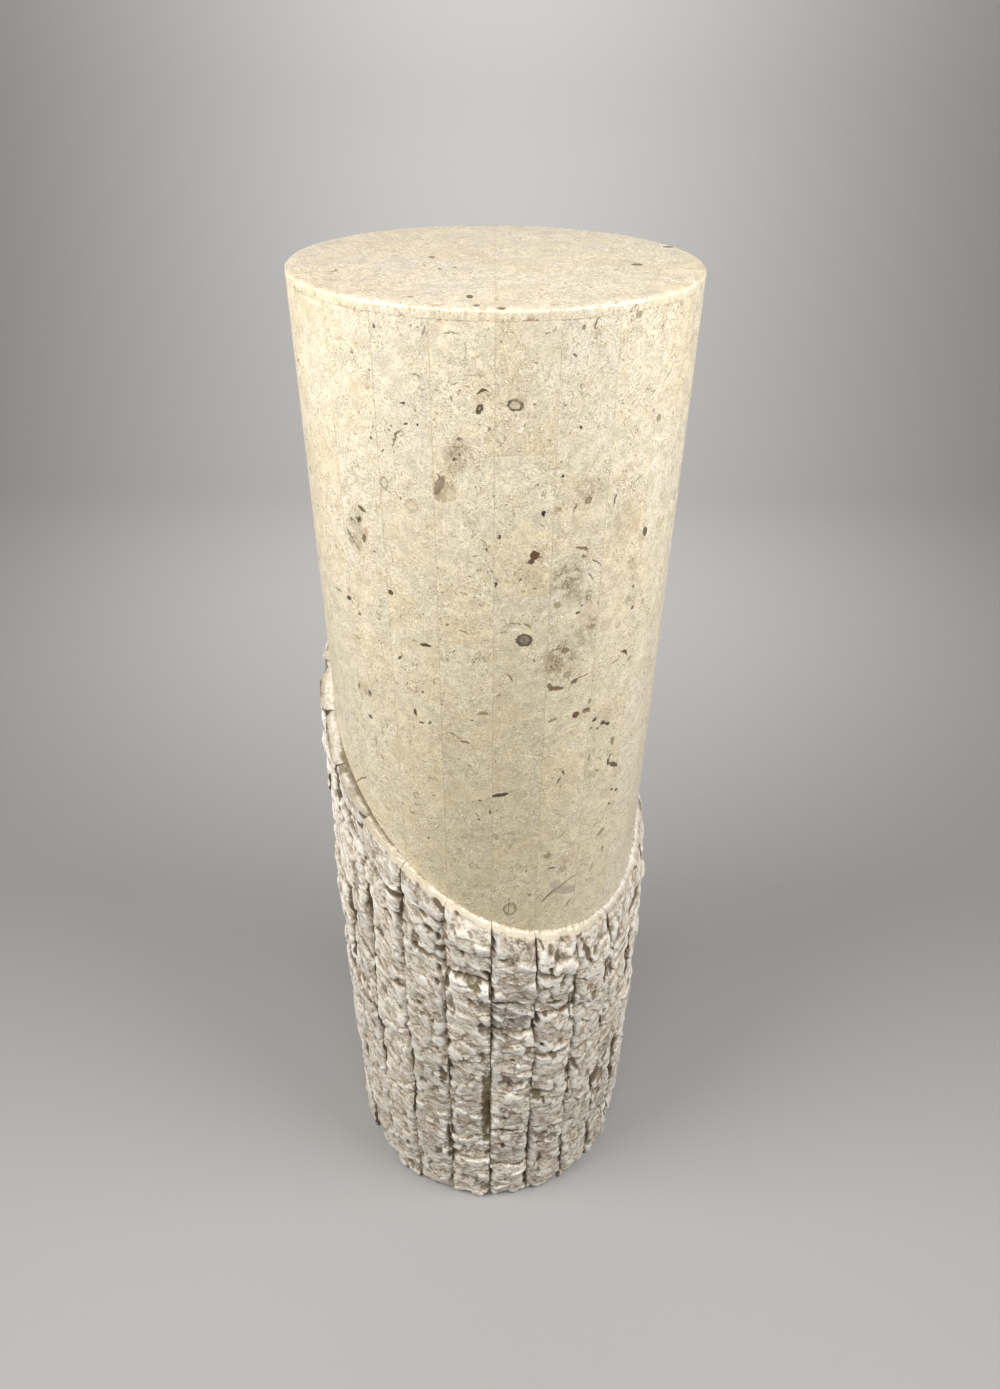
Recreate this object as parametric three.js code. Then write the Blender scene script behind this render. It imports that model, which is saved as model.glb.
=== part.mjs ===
// A round pedestal column clad in fossil limestone. Polished strips cover its upper part and
// split-face staves its lower part, and an oblique plane parts the two.
// Millimetres, +Z up, -Y is the front. The origin is the centre of the underside.

import * as THREE from 'three';

// Overall size
const columnHeight = 900;
const polishedRadius = 132;
const jointWidth = 0.3;

// Cladding: strips and staves share the same joints
const stripCount = 23;
const stripThickness = 10;
const stripSegments = 4;
const coreRadius = polishedRadius - stripThickness;

// Flat top: two half-round slabs with a rounded rim
const slabThickness = 6;
const rimRounding = 2.5;
const rimSteps = 4;

// The oblique plane: its height on the axis, and its rise per millimetre towards +X and +Y
const slantHeight = 506;
const slantTowardsRight = -0.556;
const slantTowardsBack = 0.595;

// The strips at the left stop short of the ledge and leave an open, brown joint there
const openJointExtra = 2.2;
const openJointAngle = -62;
const openJointSpread = 24;

// Split faces: mean radius, and how far the stone may stand in or out
const roughRadius = 145;
const roughDeepest = 137;
const roughOutermost = 150;
const blockHeight = 52;
const blockRelief = 4;
const blockTilt = 2.5;
const grainHeight = 24;
const grainRelief = 1.6;
const brokenEdge = 3.2;
const brokenFoot = 5;
const rowHeight = 34;
const staveSegments = 4;

// The ledge on the staves' top ends is narrow at the front and wider at the left
const ledgeNarrow = 5.5;
const ledgeWide = 12;
const ledgeWideAngle = -75;
const ledgeWideSpread = 35;
const ledgeSlope = 30;

// Level butt joints, in millimetres below the top, for the strips that have any
const buttJoints = new Map([
  [0, [79, 171, 381]],
  [1, [247]],
  [6, [210]],
  [10, [130]],
  [14, [165]],
  [19, [194]],
  [20, [298]],
  [21, [158]],
  [22, [263]],
]);
const lengthNames = {
  1: [''],
  2: ['_upper', '_lower'],
  4: ['_top', '_upper', '_middle', '_lower'],
};

const polishedStone = new THREE.MeshStandardMaterial({
  name: 'polished_stone', color: 0xe2d6bd, roughness: 0.35, metalness: 0,
});
const splitStone = new THREE.MeshStandardMaterial({
  name: 'split_stone', color: 0xc9bfb2, roughness: 0.95, metalness: 0,
});
const backing = new THREE.MeshStandardMaterial({
  name: 'backing', color: 0x5c4a30, roughness: 0.8, metalness: 0,
});

const column = new THREE.Group();

// A repeatable number from 0 to 1 for whole numbers a, b and c
function chance(a, b, c) {
  const value = Math.sin(a * 12.9898 + b * 78.233 + c * 37.719) * 43758.5453;
  return value - Math.floor(value);
}

// A smooth bell: 1 at the middle, near 0 beyond the spread, for angles in degrees
function bell(angle, middle, spread) {
  const away = THREE.MathUtils.euclideanModulo(angle - middle + 180, 360) - 180;
  return Math.exp(-((away / spread) ** 2));
}

// The slanting plane's height over a point
function slantAt(x, y) {
  return slantHeight + slantTowardsRight * x + slantTowardsBack * y;
}

// Angles run anticlockwise from the front, seen from above
function jointAngle(strip) {
  return (strip * 360) / stripCount;
}

// A point of a strip's or stave's outline. At its two sides it keeps half a joint away from
// the joint's own plane.
function sectorPoint(strip, across, radius) {
  const degrees = jointAngle(strip + across);
  const angle = THREE.MathUtils.degToRad(degrees);
  const point = new THREE.Vector2(radius * Math.sin(angle), -radius * Math.cos(angle));
  const along = new THREE.Vector2(Math.cos(angle), Math.sin(angle));
  if (across === 0) {
    point.addScaledVector(along, jointWidth / 2);
  }
  if (across === 1) {
    point.addScaledVector(along, -jointWidth / 2);
  }
  return point;
}

// The outline of a strip or stave, anticlockwise from above: its outer face from left to
// right, and then its back
function sectorOutline(strip, segments, outerRadius, heightAt) {
  const outline = [];
  for (let i = 0; i <= segments; i++) {
    const across = i / segments;
    outline.push(sectorPoint(strip, across, outerRadius(across)));
  }
  for (let i = segments; i >= 0; i--) {
    outline.push(sectorPoint(strip, i / segments, coreRadius));
  }
  return outline.map((p) => new THREE.Vector3(p.x, p.y, heightAt(p.x, p.y)));
}

// A closed body through outlines of the same number of points, from the lowest to the highest
function loftedBody(outlines) {
  const count = outlines[0].length;
  const positions = outlines.flat().flatMap((p) => [p.x, p.y, p.z]);
  const index = [];
  for (let level = 0; level < outlines.length - 1; level++) {
    const low = level * count;
    const high = low + count;
    for (let i = 0; i < count; i++) {
      const next = (i + 1) % count;
      index.push(low + i, low + next, high + next);
      index.push(low + i, high + next, high + i);
    }
  }
  const topStart = (outlines.length - 1) * count;
  const bottomCap = THREE.ShapeUtils.triangulateShape(outlines[0], []);
  const topCap = THREE.ShapeUtils.triangulateShape(outlines.at(-1), []);
  for (const [a, b, c] of bottomCap) {
    index.push(a, c, b);
  }
  for (const [a, b, c] of topCap) {
    index.push(topStart + a, topStart + b, topStart + c);
  }
  const body = new THREE.BufferGeometry();
  body.setAttribute('position', new THREE.Float32BufferAttribute(positions, 3));
  body.setIndex(index);
  body.computeVertexNormals();
  return body;
}

function addPiece(name, geometry, material) {
  const mesh = new THREE.Mesh(geometry, material);
  mesh.name = name;
  column.add(mesh);
}

// The round backing that carries the stone
function addCore() {
  const height = columnHeight - slabThickness - jointWidth;
  const radius = coreRadius - jointWidth;
  const profile = [
    new THREE.Vector2(0, 0),
    new THREE.Vector2(radius, 0),
    new THREE.Vector2(radius, height),
    new THREE.Vector2(0, height),
  ];
  const drum = new THREE.LatheGeometry(profile, stripCount * stripSegments);
  drum.rotateX(Math.PI / 2);
  addPiece('core_drum', drum, backing);
}

// One half of the flat top: side is -1 for the left half and 1 for the right half
function addTopSlab(name, side) {
  const arcSegments = (stripCount * stripSegments) / 2;
  const seam = jointWidth / 2;
  const levels = [{ radius: polishedRadius, z: columnHeight - slabThickness }];
  for (let i = 0; i <= rimSteps; i++) {
    const turn = (i / rimSteps) * (Math.PI / 2);
    levels.push({
      radius: polishedRadius - rimRounding * (1 - Math.cos(turn)),
      z: columnHeight - rimRounding * (1 - Math.sin(turn)),
    });
  }
  const outlines = levels.map(({ radius, z }) => {
    const cut = Math.asin(seam / radius);
    const outline = [];
    for (let i = 0; i <= arcSegments; i++) {
      const angle = cut + (i / arcSegments) * (Math.PI - 2 * cut);
      const turned = side > 0 ? angle : angle + Math.PI;
      outline.push(new THREE.Vector3(radius * Math.sin(turned), -radius * Math.cos(turned), z));
    }
    return outline;
  });
  addPiece(name, loftedBody(outlines), polishedStone);
}

// One polished strip, in as many lengths as its butt joints make
function addPolishedStrip(strip) {
  const number = String(strip + 1).padStart(2, '0');
  const middleAngle = jointAngle(strip + 0.5);
  const openJoint = openJointExtra * bell(middleAngle, openJointAngle, openJointSpread);
  const stripTop = columnHeight - slabThickness - jointWidth;
  const butts = (buttJoints.get(strip) ?? []).map((depth) => columnHeight - depth);
  const names = lengthNames[butts.length + 1];
  const onRadius = () => polishedRadius;
  const onSlant = (x, y) => slantAt(x, y) + jointWidth + openJoint;
  names.forEach((lengthName, i) => {
    const head = i === 0 ? () => stripTop : () => butts[i - 1] - jointWidth / 2;
    const foot = i === names.length - 1 ? onSlant : () => butts[i] + jointWidth / 2;
    const body = loftedBody([
      sectorOutline(strip, stripSegments, onRadius, foot),
      sectorOutline(strip, stripSegments, onRadius, head),
    ]);
    addPiece(`polished_strip_${number}${lengthName}`, body, polishedStone);
  });
}

// How far the split face stands out at one place of a stave, measured from the axis
function splitRadius(strip, across, row, rowCount, faceHeight) {
  const up = (row / rowCount) * faceHeight;
  const block = Math.floor(up / blockHeight + chance(strip, 0, 1));
  const inBlock = up / blockHeight + chance(strip, 0, 1) - block;
  const standsOut = blockRelief * (2 * chance(strip, block, 2) - 1);
  const tiltUp = blockTilt * (2 * chance(strip, block, 3) - 1) * (inBlock - 0.5);
  const tiltAcross = blockTilt * (2 * chance(strip, block, 4) - 1) * (across - 0.5);
  const place = Math.round(across * staveSegments);
  const grain = grainRelief * (2 * chance(strip * staveSegments + place, row, 5) - 1);
  const atSide = across === 0 || across === 1;
  const edge = atSide ? brokenEdge * chance(strip + across, Math.floor(up / grainHeight), 6) : 0;
  const foot = row === 0 ? brokenFoot * chance(strip, place, 7) : 0;
  const rough = roughRadius + standsOut + tiltUp + tiltAcross + grain - edge - foot;
  const limited = THREE.MathUtils.clamp(rough, roughDeepest, roughOutermost);
  const wide = bell(jointAngle(strip + across), ledgeWideAngle, ledgeWideSpread);
  const ledge = polishedRadius + THREE.MathUtils.lerp(ledgeNarrow, ledgeWide, wide);
  const belowLedge = faceHeight - up;
  const slope = Math.min(1, belowLedge / ledgeSlope);
  return THREE.MathUtils.lerp(Math.min(ledge, limited), limited, slope);
}

// One split-face stave, from the floor to the slanting plane
function addRoughStave(strip) {
  const number = String(strip + 1).padStart(2, '0');
  const middle = sectorPoint(strip, 0.5, roughRadius);
  const faceHeight = slantAt(middle.x, middle.y);
  const rowCount = Math.round(faceHeight / rowHeight);
  const outlines = [];
  for (let row = 0; row <= rowCount; row++) {
    const part = row / rowCount;
    outlines.push(sectorOutline(
      strip,
      staveSegments,
      (across) => splitRadius(strip, across, row, rowCount, faceHeight),
      (x, y) => part * slantAt(x, y),
    ));
  }
  addPiece(`rough_stave_${number}`, loftedBody(outlines), splitStone);
}

addCore();
addTopSlab('top_slab_left', -1);
addTopSlab('top_slab_right', 1);
for (let strip = 0; strip < stripCount; strip++) {
  addPolishedStrip(strip);
}
for (let strip = 0; strip < stripCount; strip++) {
  addRoughStave(strip);
}

export default column;
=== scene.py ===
"""Looks of a round pedestal column clad in cream fossil limestone.

Polished strips and a two-slab top above an oblique cut, split-face staves below it, a pale
floor, soft light and a camera. Sizes are in millimetres until a mesh or a light is made.
"""

import math

import bpy
import numpy as np
from mathutils import Matrix, Vector


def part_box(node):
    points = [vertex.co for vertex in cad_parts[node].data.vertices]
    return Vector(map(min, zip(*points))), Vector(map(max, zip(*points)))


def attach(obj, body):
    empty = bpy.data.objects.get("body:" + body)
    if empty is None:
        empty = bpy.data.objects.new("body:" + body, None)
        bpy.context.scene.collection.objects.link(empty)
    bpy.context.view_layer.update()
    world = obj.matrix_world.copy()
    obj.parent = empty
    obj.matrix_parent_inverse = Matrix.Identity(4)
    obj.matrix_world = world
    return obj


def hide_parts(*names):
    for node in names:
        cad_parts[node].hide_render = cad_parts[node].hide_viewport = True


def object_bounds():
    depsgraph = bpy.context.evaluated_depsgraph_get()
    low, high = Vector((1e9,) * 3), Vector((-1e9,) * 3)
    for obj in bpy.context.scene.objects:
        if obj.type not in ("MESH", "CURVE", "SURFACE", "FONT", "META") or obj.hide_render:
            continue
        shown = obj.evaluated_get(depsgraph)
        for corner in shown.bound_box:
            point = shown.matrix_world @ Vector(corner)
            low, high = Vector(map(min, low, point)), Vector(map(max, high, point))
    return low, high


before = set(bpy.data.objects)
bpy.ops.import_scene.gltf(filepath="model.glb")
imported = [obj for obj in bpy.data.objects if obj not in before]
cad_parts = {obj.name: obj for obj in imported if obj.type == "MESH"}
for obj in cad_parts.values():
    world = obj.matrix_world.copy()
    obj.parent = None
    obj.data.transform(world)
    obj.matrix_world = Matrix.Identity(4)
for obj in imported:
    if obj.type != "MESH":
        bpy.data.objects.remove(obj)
cad_low, cad_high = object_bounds()

MM = 0.001
SEED = 4107
# How far a piece's pattern may be moved
PATTERN_REACH = 900
NO_TRIANGLES = np.zeros((0, 3), int)

# Sizes from the frame, and the joint between its solids
SOLID_JOINT = 0.3
HEIGHT = cad_high.z / MM
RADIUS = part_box("top_slab_right")[1].x / MM
CORE_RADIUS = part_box("core_drum")[1].x / MM + SOLID_JOINT
SLAB_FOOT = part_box("top_slab_right")[0].z / MM
STAVES = sorted(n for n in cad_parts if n.startswith("rough_stave_"))
TILES = sorted(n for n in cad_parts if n.startswith("polished_strip_"))
STRIP_COUNT = len(STAVES)
PITCH = 360 / STRIP_COUNT
ARC_PER_DEGREE = math.radians(1) * RADIUS

# The oblique plane between polished strips and split staves: its height on the axis and its
# rise towards the right (+X) and the back (+Y)
SLANT_HEIGHT = 506
SLANT_RIGHT = -0.556
SLANT_BACK = 0.595

# The open brown joint above the ledge at the left
OPEN_JOINT = 2.2
OPEN_JOINT_ANGLE = -62
OPEN_JOINT_SPREAD = 24

# Joints between neighbours, narrower than the solids' because filler closes them
STRIP_JOINT = 0.04
STAVE_JOINT = 0.35
TILE_BEVEL = 0.05
JOINT_LINE = 0.8
BUTT_FILL = 0.13
RIM_REACH = 1.6

# Rough staves
STAVE_RADIUS = 145
STAVE_DEEPEST = 134
STAVE_OUTERMOST = 150.5
STAVE_STEP = 1.3
STAVE_COLUMNS = 34
STAVE_SIDE_STEPS = 3
LEDGE_NARROW = 5.5
LEDGE_WIDE = 12
LEDGE_WIDE_ANGLE = -75
LEDGE_WIDE_SPREAD = 35
LEDGE_SLOPE = 26
LEDGE_WEAR = 4.0
END_STEPS = 4
SIDE_PARTS = [step / STAVE_SIDE_STEPS for step in range(1, STAVE_SIDE_STEPS)]
STAVE_SHARP = 24

# Brown filler on the ledge at the left: its widest place, how wide it is there, and the thin
# line that goes on to the right
FILLER_ANGLE = -58
FILLER_SPREAD = 9
FILLER_REACH = 4.2
FILLER_THIN = 1.6

# Large odd numbers that scramble a place and a seed
SCRAMBLE = (374761393, 668265263, 974634777, 1274126177)


def turned_angle(degrees):
    """The angle brought between -180 and 180 degrees."""
    return (degrees + 180) % 360 - 180


def bell(angle, middle, spread):
    """1 at the middle angle and near 0 beyond the spread, in degrees."""
    return np.exp(-((turned_angle(angle - middle) / spread) ** 2))


def slant_at(x, y):
    """The oblique plane's height over a point."""
    return SLANT_HEIGHT + SLANT_RIGHT * x + SLANT_BACK * y


def smooth(value, low, high):
    """0 below low, 1 above high and a smooth rise between them."""
    part = np.clip((value - low) / (high - low), 0, 1)
    return part * part * (3 - 2 * part)


def lattice(a, b, seed):
    """Repeatable numbers from 0 to 1 for whole-number arrays."""
    mask = 0xFFFFFFFF
    key = a.astype(np.int64) * SCRAMBLE[0] + b.astype(np.int64) * SCRAMBLE[1]
    key = (key + seed * SCRAMBLE[2]) & mask
    key = ((key ^ (key >> 13)) * SCRAMBLE[3]) & mask
    return (key ^ (key >> 16)) / mask


def noise(x, y, seed):
    """Smooth noise from -1 to 1 with features about one unit wide."""
    cx = np.floor(x)
    cy = np.floor(y)
    fx = smooth(x - cx, 0, 1)
    fy = smooth(y - cy, 0, 1)
    low = lattice(cx, cy, seed) * (1 - fx) + lattice(cx + 1, cy, seed) * fx
    high = lattice(cx, cy + 1, seed) * (1 - fx) + lattice(cx + 1, cy + 1, seed) * fx
    return 2 * (low * (1 - fy) + high * fy) - 1


def fractal(x, y, seed, octaves):
    """Noise with finer and weaker copies of itself, from about -1 to 1."""
    total = 0
    size = 1
    for octave in range(octaves):
        total = total + noise(x / size, y / size, seed + octave) * size
        size *= 0.5
    return total / (2 - 2 * size)


def flakes(x, y, seed, slope):
    """Broken stone: every cell is its own tilted flat. Gives the heights and how far the
    nearest edge between two flats is."""
    cx = np.floor(x)
    cy = np.floor(y)
    nearest = np.full(x.shape, 9.0)
    second = np.full(x.shape, 9.0)
    height = np.zeros(x.shape)
    for dx in (-1, 0, 1):
        for dy in (-1, 0, 1):
            a = cx + dx
            b = cy + dy
            away_x = x - a - lattice(a, b, seed)
            away_y = y - b - lattice(a, b, seed + 1)
            distance = away_x**2 + away_y**2
            level = 2 * lattice(a, b, seed + 2) - 1
            tilt_x = slope * (2 * lattice(a, b, seed + 3) - 1)
            tilt_y = slope * (2 * lattice(a, b, seed + 4) - 1)
            here = level + tilt_x * away_x + tilt_y * away_y
            closer = distance < nearest
            second = np.where(closer, nearest, np.minimum(second, distance))
            nearest = np.where(closer, distance, nearest)
            height = np.where(closer, here, height)
    return height, np.sqrt(second) - np.sqrt(nearest)


def blurred(grid, reach):
    """The grid averaged over a square of 2 * reach + 1 cells, twice."""
    for _ in range(2):
        for axis in (0, 1):
            edge = [(0, 0), (0, 0)]
            edge[axis] = (reach + 1, reach)
            total = np.cumsum(np.pad(grid, edge, mode="edge"), axis=axis)
            span = 2 * reach + 1
            if axis == 0:
                grid = (total[span:] - total[:-span]) / span
            else:
                grid = (total[:, span:] - total[:, :-span]) / span
    return grid


def sector_point(strip, across, radius, joint):
    """x and y of a place on a strip: across runs from 0 at its left side to 1 at its right."""
    degrees = PITCH * (strip + across)
    angle = np.radians(degrees) + (1 - 2 * across) * joint / (2 * radius)
    return radius * np.sin(angle), -radius * np.cos(angle)


def solid(name, points, quads, triangles, attributes, sharp_angle):
    """A mesh object from millimetre points, with point attributes of 1 or 3 numbers."""
    mesh = bpy.data.meshes.new(name)
    mesh.vertices.add(len(points))
    mesh.vertices.foreach_set("co", (np.asarray(points) * MM).astype(np.float32).ravel())
    corners = np.concatenate([np.ravel(quads), np.ravel(triangles)]).astype(np.int32)
    starts = np.concatenate([
        np.arange(len(quads)) * 4,
        len(quads) * 4 + np.arange(len(triangles)) * 3,
    ]).astype(np.int32)
    mesh.loops.add(len(corners))
    mesh.loops.foreach_set("vertex_index", corners)
    mesh.polygons.add(len(starts))
    mesh.polygons.foreach_set("loop_start", starts)
    mesh.update(calc_edges=True)
    for label, values in attributes.items():
        values = np.asarray(values, np.float32)
        if values.ndim == 1:
            mesh.attributes.new(label, "FLOAT", "POINT").data.foreach_set("value", values)
        else:
            field = mesh.attributes.new(label, "FLOAT_VECTOR", "POINT")
            field.data.foreach_set("vector", values.ravel())
    mesh.shade_smooth()
    mesh.set_sharp_from_angle(angle=math.radians(sharp_angle))
    piece = bpy.data.objects.new(name, mesh)
    bpy.context.scene.collection.objects.link(piece)
    return piece


def ring_quads(rows, count):
    """Quads between rows of closed rings of count points, facing out when a ring runs
    anticlockwise seen from above and rows go up."""
    row, i = np.meshgrid(np.arange(rows - 1), np.arange(count), indexing="ij")
    low = (row * count + i).ravel()
    next_low = (row * count + (i + 1) % count).ravel()
    return np.stack([low, next_low, next_low + count, low + count], axis=1)


# Materials


class Graph:
    """Adds nodes to a material and links them."""

    def __init__(self, name):
        self.material = bpy.data.materials.new(name)
        self.material.use_nodes = True
        self.tree = self.material.node_tree
        self.shader = self.tree.nodes["Principled BSDF"]

    def feed(self, socket, value):
        if isinstance(value, bpy.types.NodeSocket):
            self.tree.links.new(value, socket)
        else:
            socket.default_value = value

    def node(self, kind, inputs, output=0, **settings):
        node = self.tree.nodes.new(kind)
        for key, value in settings.items():
            setattr(node, key, value)
        for key, value in inputs.items():
            self.feed(node.inputs[key], value)
        return node.outputs[output]

    def attribute(self, name, output="Fac"):
        return self.node("ShaderNodeAttribute", {}, output, attribute_name=name)

    def math(self, operation, a, b=0.0, c=0.0):
        return self.node("ShaderNodeMath", {0: a, 1: b, 2: c}, operation=operation)

    def times(self, a, b):
        return self.math("MULTIPLY", a, b)

    def vector(self, operation, a, b=(0, 0, 0)):
        output = "Value" if operation == "LENGTH" else "Vector"
        return self.node("ShaderNodeVectorMath", {0: a, 1: b}, output, operation=operation)

    def moved(self, place, offset):
        return self.vector("ADD", place, offset)

    def parts(self, vector):
        """The X, Y and Z of a vector."""
        return self.node("ShaderNodeSeparateXYZ", {0: vector}).node.outputs.values()

    def local(self, place, across, down, length, width, turn):
        """The place seen from an ellipse, whose outline becomes the unit circle."""
        inputs = {
            "Vector": place,
            "Location": (across, down, 0),
            "Rotation": (0, 0, math.radians(turn)),
            "Scale": (length / 2, width / 2, 1),
        }
        return self.node("ShaderNodeMapping", inputs, vector_type="TEXTURE")

    def noise(self, place, scale, detail=2.0, distortion=0.0, output="Fac"):
        inputs = {"Vector": place, "Scale": scale, "Detail": detail, "Distortion": distortion}
        return self.node("ShaderNodeTexNoise", inputs, output)

    def from_middle(self, noise):
        """How far noise is from its middle, to draw a line where it crosses that."""
        return self.math("ABSOLUTE", self.math("SUBTRACT", noise, NOISE_MIDDLE))

    def range(self, value, low, high, to_low=0.0, to_high=1.0):
        inputs = {"Value": value, "From Min": low, "From Max": high,
                  "To Min": to_low, "To Max": to_high}
        return self.node("ShaderNodeMapRange", inputs, interpolation_type="SMOOTHSTEP")

    def mix(self, factor, a, b, blend="MIX"):
        inputs = {0: factor, 6: a, 7: b}
        return self.node("ShaderNodeMix", inputs, 2, data_type="RGBA", blend_type=blend)

    def tinted(self, ground, tint):
        return self.mix(1.0, ground, tint, blend="MULTIPLY")

    def shade(self, ground, level):
        """The ground made lighter or darker by a level around 1."""
        grey = self.node("ShaderNodeCombineXYZ", {0: level, 1: level, 2: level})
        return self.tinted(ground, grey)

    def bump(self, height, strength, distance, normal=None):
        inputs = {"Height": height, "Strength": strength, "Distance": distance * MM}
        if normal is not None:
            inputs["Normal"] = normal
        return self.node("ShaderNodeBump", inputs, "Normal")

    def finish(self, base, roughness, specular, normal):
        """Feeds the shader and gives the material."""
        self.feed(self.shader.inputs["Base Color"], base)
        self.feed(self.shader.inputs["Roughness"], roughness)
        self.feed(self.shader.inputs["Specular IOR Level"], specular)
        self.feed(self.shader.inputs["Normal"], normal)
        return self.material


def colour(red, green, blue):
    return (red, green, blue, 1.0)


NOISE_MIDDLE = 0.5

CREAM = colour(0.765, 0.685, 0.525)
WARM_CREAM = colour(0.765, 0.655, 0.455)
GREY_CREAM = colour(0.765, 0.69, 0.545)
PALE_FLECK = colour(0.90, 0.84, 0.70)
TAN_CLOUD = colour(0.66, 0.53, 0.31)
TAN_FLECK = colour(0.44, 0.33, 0.18)
DARK_FLECK = colour(0.19, 0.13, 0.06)
HASH = colour(0.13, 0.09, 0.045)
RIM_DIRT = colour(0.24, 0.13, 0.07)

# The stone is yellower low down at the front and darker there with painted shade: the tint, the
# depths it comes in over, the distances from the front line between which it fades, and how
# much of it is left beyond them
YELLOW_AND_SHADE = colour(0.855, 0.83, 0.735)
YELLOW_SHADE_FROM = 60.0
YELLOW_SHADE_TO = 380.0
YELLOW_SHADE_NEAR = 15.0
YELLOW_SHADE_FAR = 95.0
YELLOW_SHADE_LEFT = 0.35

# Fossil colours
INKS = {
    "black": colour(0.03, 0.022, 0.014),
    "dark": colour(0.075, 0.053, 0.027),
    "brown": colour(0.18, 0.12, 0.058),
    "olive": colour(0.27, 0.22, 0.105),
    "red": colour(0.135, 0.066, 0.036),
    "grey": colour(0.25, 0.205, 0.14),
    "tan": colour(0.46, 0.35, 0.20),
    "pink": colour(0.58, 0.42, 0.29),
    "violet": colour(0.40, 0.325, 0.25),
    "pale": colour(0.86, 0.82, 0.70),
}

# Curled shell edges: where their noise is moved to, its waves a millimetre and how wide they are
CRINKLES = [((23.1, 9.7, 5.9), 0.15, 0.020), ((46.2, 19.4, 11.8), 0.25, 0.028)]
CRINKLE_STRENGTH = 2.3

# Short dark lines: where their noise is moved to, its waves a millimetre and how wide they are
DARK_LINES = ((41.1, 21.3, 9.9), 0.23, 0.034)
DARK_LINE_GAPS = 0.22

# Dark dots: where their cells are moved to, the cells a millimetre, the dots' radius in cells,
# the share of the cells that hold one and how strong they are
DOTS = [((0, 0, 0), 0.14, 0.11, 0.26, 0.85), ((40, 0, 9), 0.34, 0.16, 0.22, 0.75)]

# How much an arc bends, and how much of a ring's colour is in its middle
ARC_BEND = 1.6
RING_FILL = 0.12


def short_lines(graph, cut):
    """Short curved lines, such as cut shell edges: where smooth noise crosses its middle,
    broken up by a second noise."""
    offset, scale, width = DARK_LINES
    moved = graph.moved(cut, offset)
    away = graph.from_middle(graph.noise(moved, scale, distortion=1.2))
    gaps = graph.noise(moved, DARK_LINE_GAPS, detail=1.0)
    return graph.times(graph.range(away, width, 0.0), graph.range(gaps, 0.55, 0.63))


def crinkle(graph, cut, offset, scale, width):
    """Curled shell edges: a tan line with a pale line beside it, wherever curly noise crosses
    its middle. Gives how strong the tan and the pale are."""
    curly = graph.noise(graph.moved(cut, offset), scale, distortion=1.5)
    away = graph.math("DIVIDE", graph.math("SUBTRACT", curly, NOISE_MIDDLE), width)
    hill = graph.math("EXPONENT", graph.times(graph.times(away, away), -1.0))
    swing = graph.times(away, hill)
    tan = graph.math("MAXIMUM", swing, 0.0)
    pale = graph.math("MAXIMUM", graph.times(swing, -1.0), 0.0)
    return graph.times(tan, CRINKLE_STRENGTH), graph.times(pale, CRINKLE_STRENGTH)


def specks(graph, place, scale, size, share):
    """Scattered dots: share is the part of the cells that hold one."""
    inputs = {"Vector": place, "Scale": scale, "Randomness": 1.0}
    cells = graph.node("ShaderNodeTexVoronoi", inputs).node.outputs
    spot = graph.range(cells["Distance"], size, size * 0.5)
    red = graph.node("ShaderNodeSeparateXYZ", {0: cells["Color"]})
    return graph.times(spot, graph.math("LESS_THAN", red, share))


def cream_ground(graph, place, cut, tone, top_shade_tone):
    """The stone's slow drift between creams, with the piece's own tint on it, and low down at
    the front a yellower tint with painted shade in it. The last argument is the top face's
    darker tint, painted shade that the rim doesn't have."""
    slow = graph.noise(cut, 0.013)
    ground = graph.mix(graph.range(slow, 0.36, 0.64), CREAM, WARM_CREAM)
    grey = graph.noise(graph.moved(cut, (11, 171, 50)), 0.021, detail=3.0)
    ground = graph.mix(graph.range(grey, 0.46, 0.7, 0.0, 0.8), ground, GREY_CREAM)
    across, down, below_face = graph.parts(place)
    tint = colour(*tone)
    # The top face takes a darker tint: painted shade, which the rim doesn't have
    if top_shade_tone:
        tint = graph.mix(graph.range(below_face, 0.2, 1.6), colour(*top_shade_tone), tint)
    ground = graph.tinted(ground, tint)
    # Low down at the front a yellower tint with painted shade in it
    low_down = graph.range(down, YELLOW_SHADE_FROM, YELLOW_SHADE_TO)
    from_front = graph.math("ABSOLUTE", across)
    to_front = graph.range(from_front, YELLOW_SHADE_FAR, YELLOW_SHADE_NEAR, YELLOW_SHADE_LEFT, 1.0)
    return graph.mix(graph.times(low_down, to_front), ground, graph.tinted(ground, YELLOW_AND_SHADE))


def shell_marks(graph, cut, ground):
    """Shell edges, short dark lines and dots. Gives the new ground and the dark lines."""
    busy = graph.noise(graph.moved(cut, (5, 44, 120)), 0.04, detail=3.0)
    strong = graph.range(busy, 0.34, 0.62, 0.42, 1.0)
    for offset, scale, width in CRINKLES:
        tan, pale = crinkle(graph, cut, offset, scale, width)
        ground = graph.mix(graph.times(tan, strong), ground, TAN_FLECK)
        ground = graph.mix(graph.times(pale, strong), ground, PALE_FLECK)
    dark_lines = graph.times(short_lines(graph, cut), graph.range(busy, 0.40, 0.62, 0.35, 0.95))
    ground = graph.mix(dark_lines, ground, DARK_FLECK)
    for offset, scale, size, share, strength in DOTS:
        dots = specks(graph, graph.moved(cut, offset), scale, size, share)
        ground = graph.mix(graph.times(dots, strength), ground, DARK_FLECK)
    return ground, dark_lines


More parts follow.
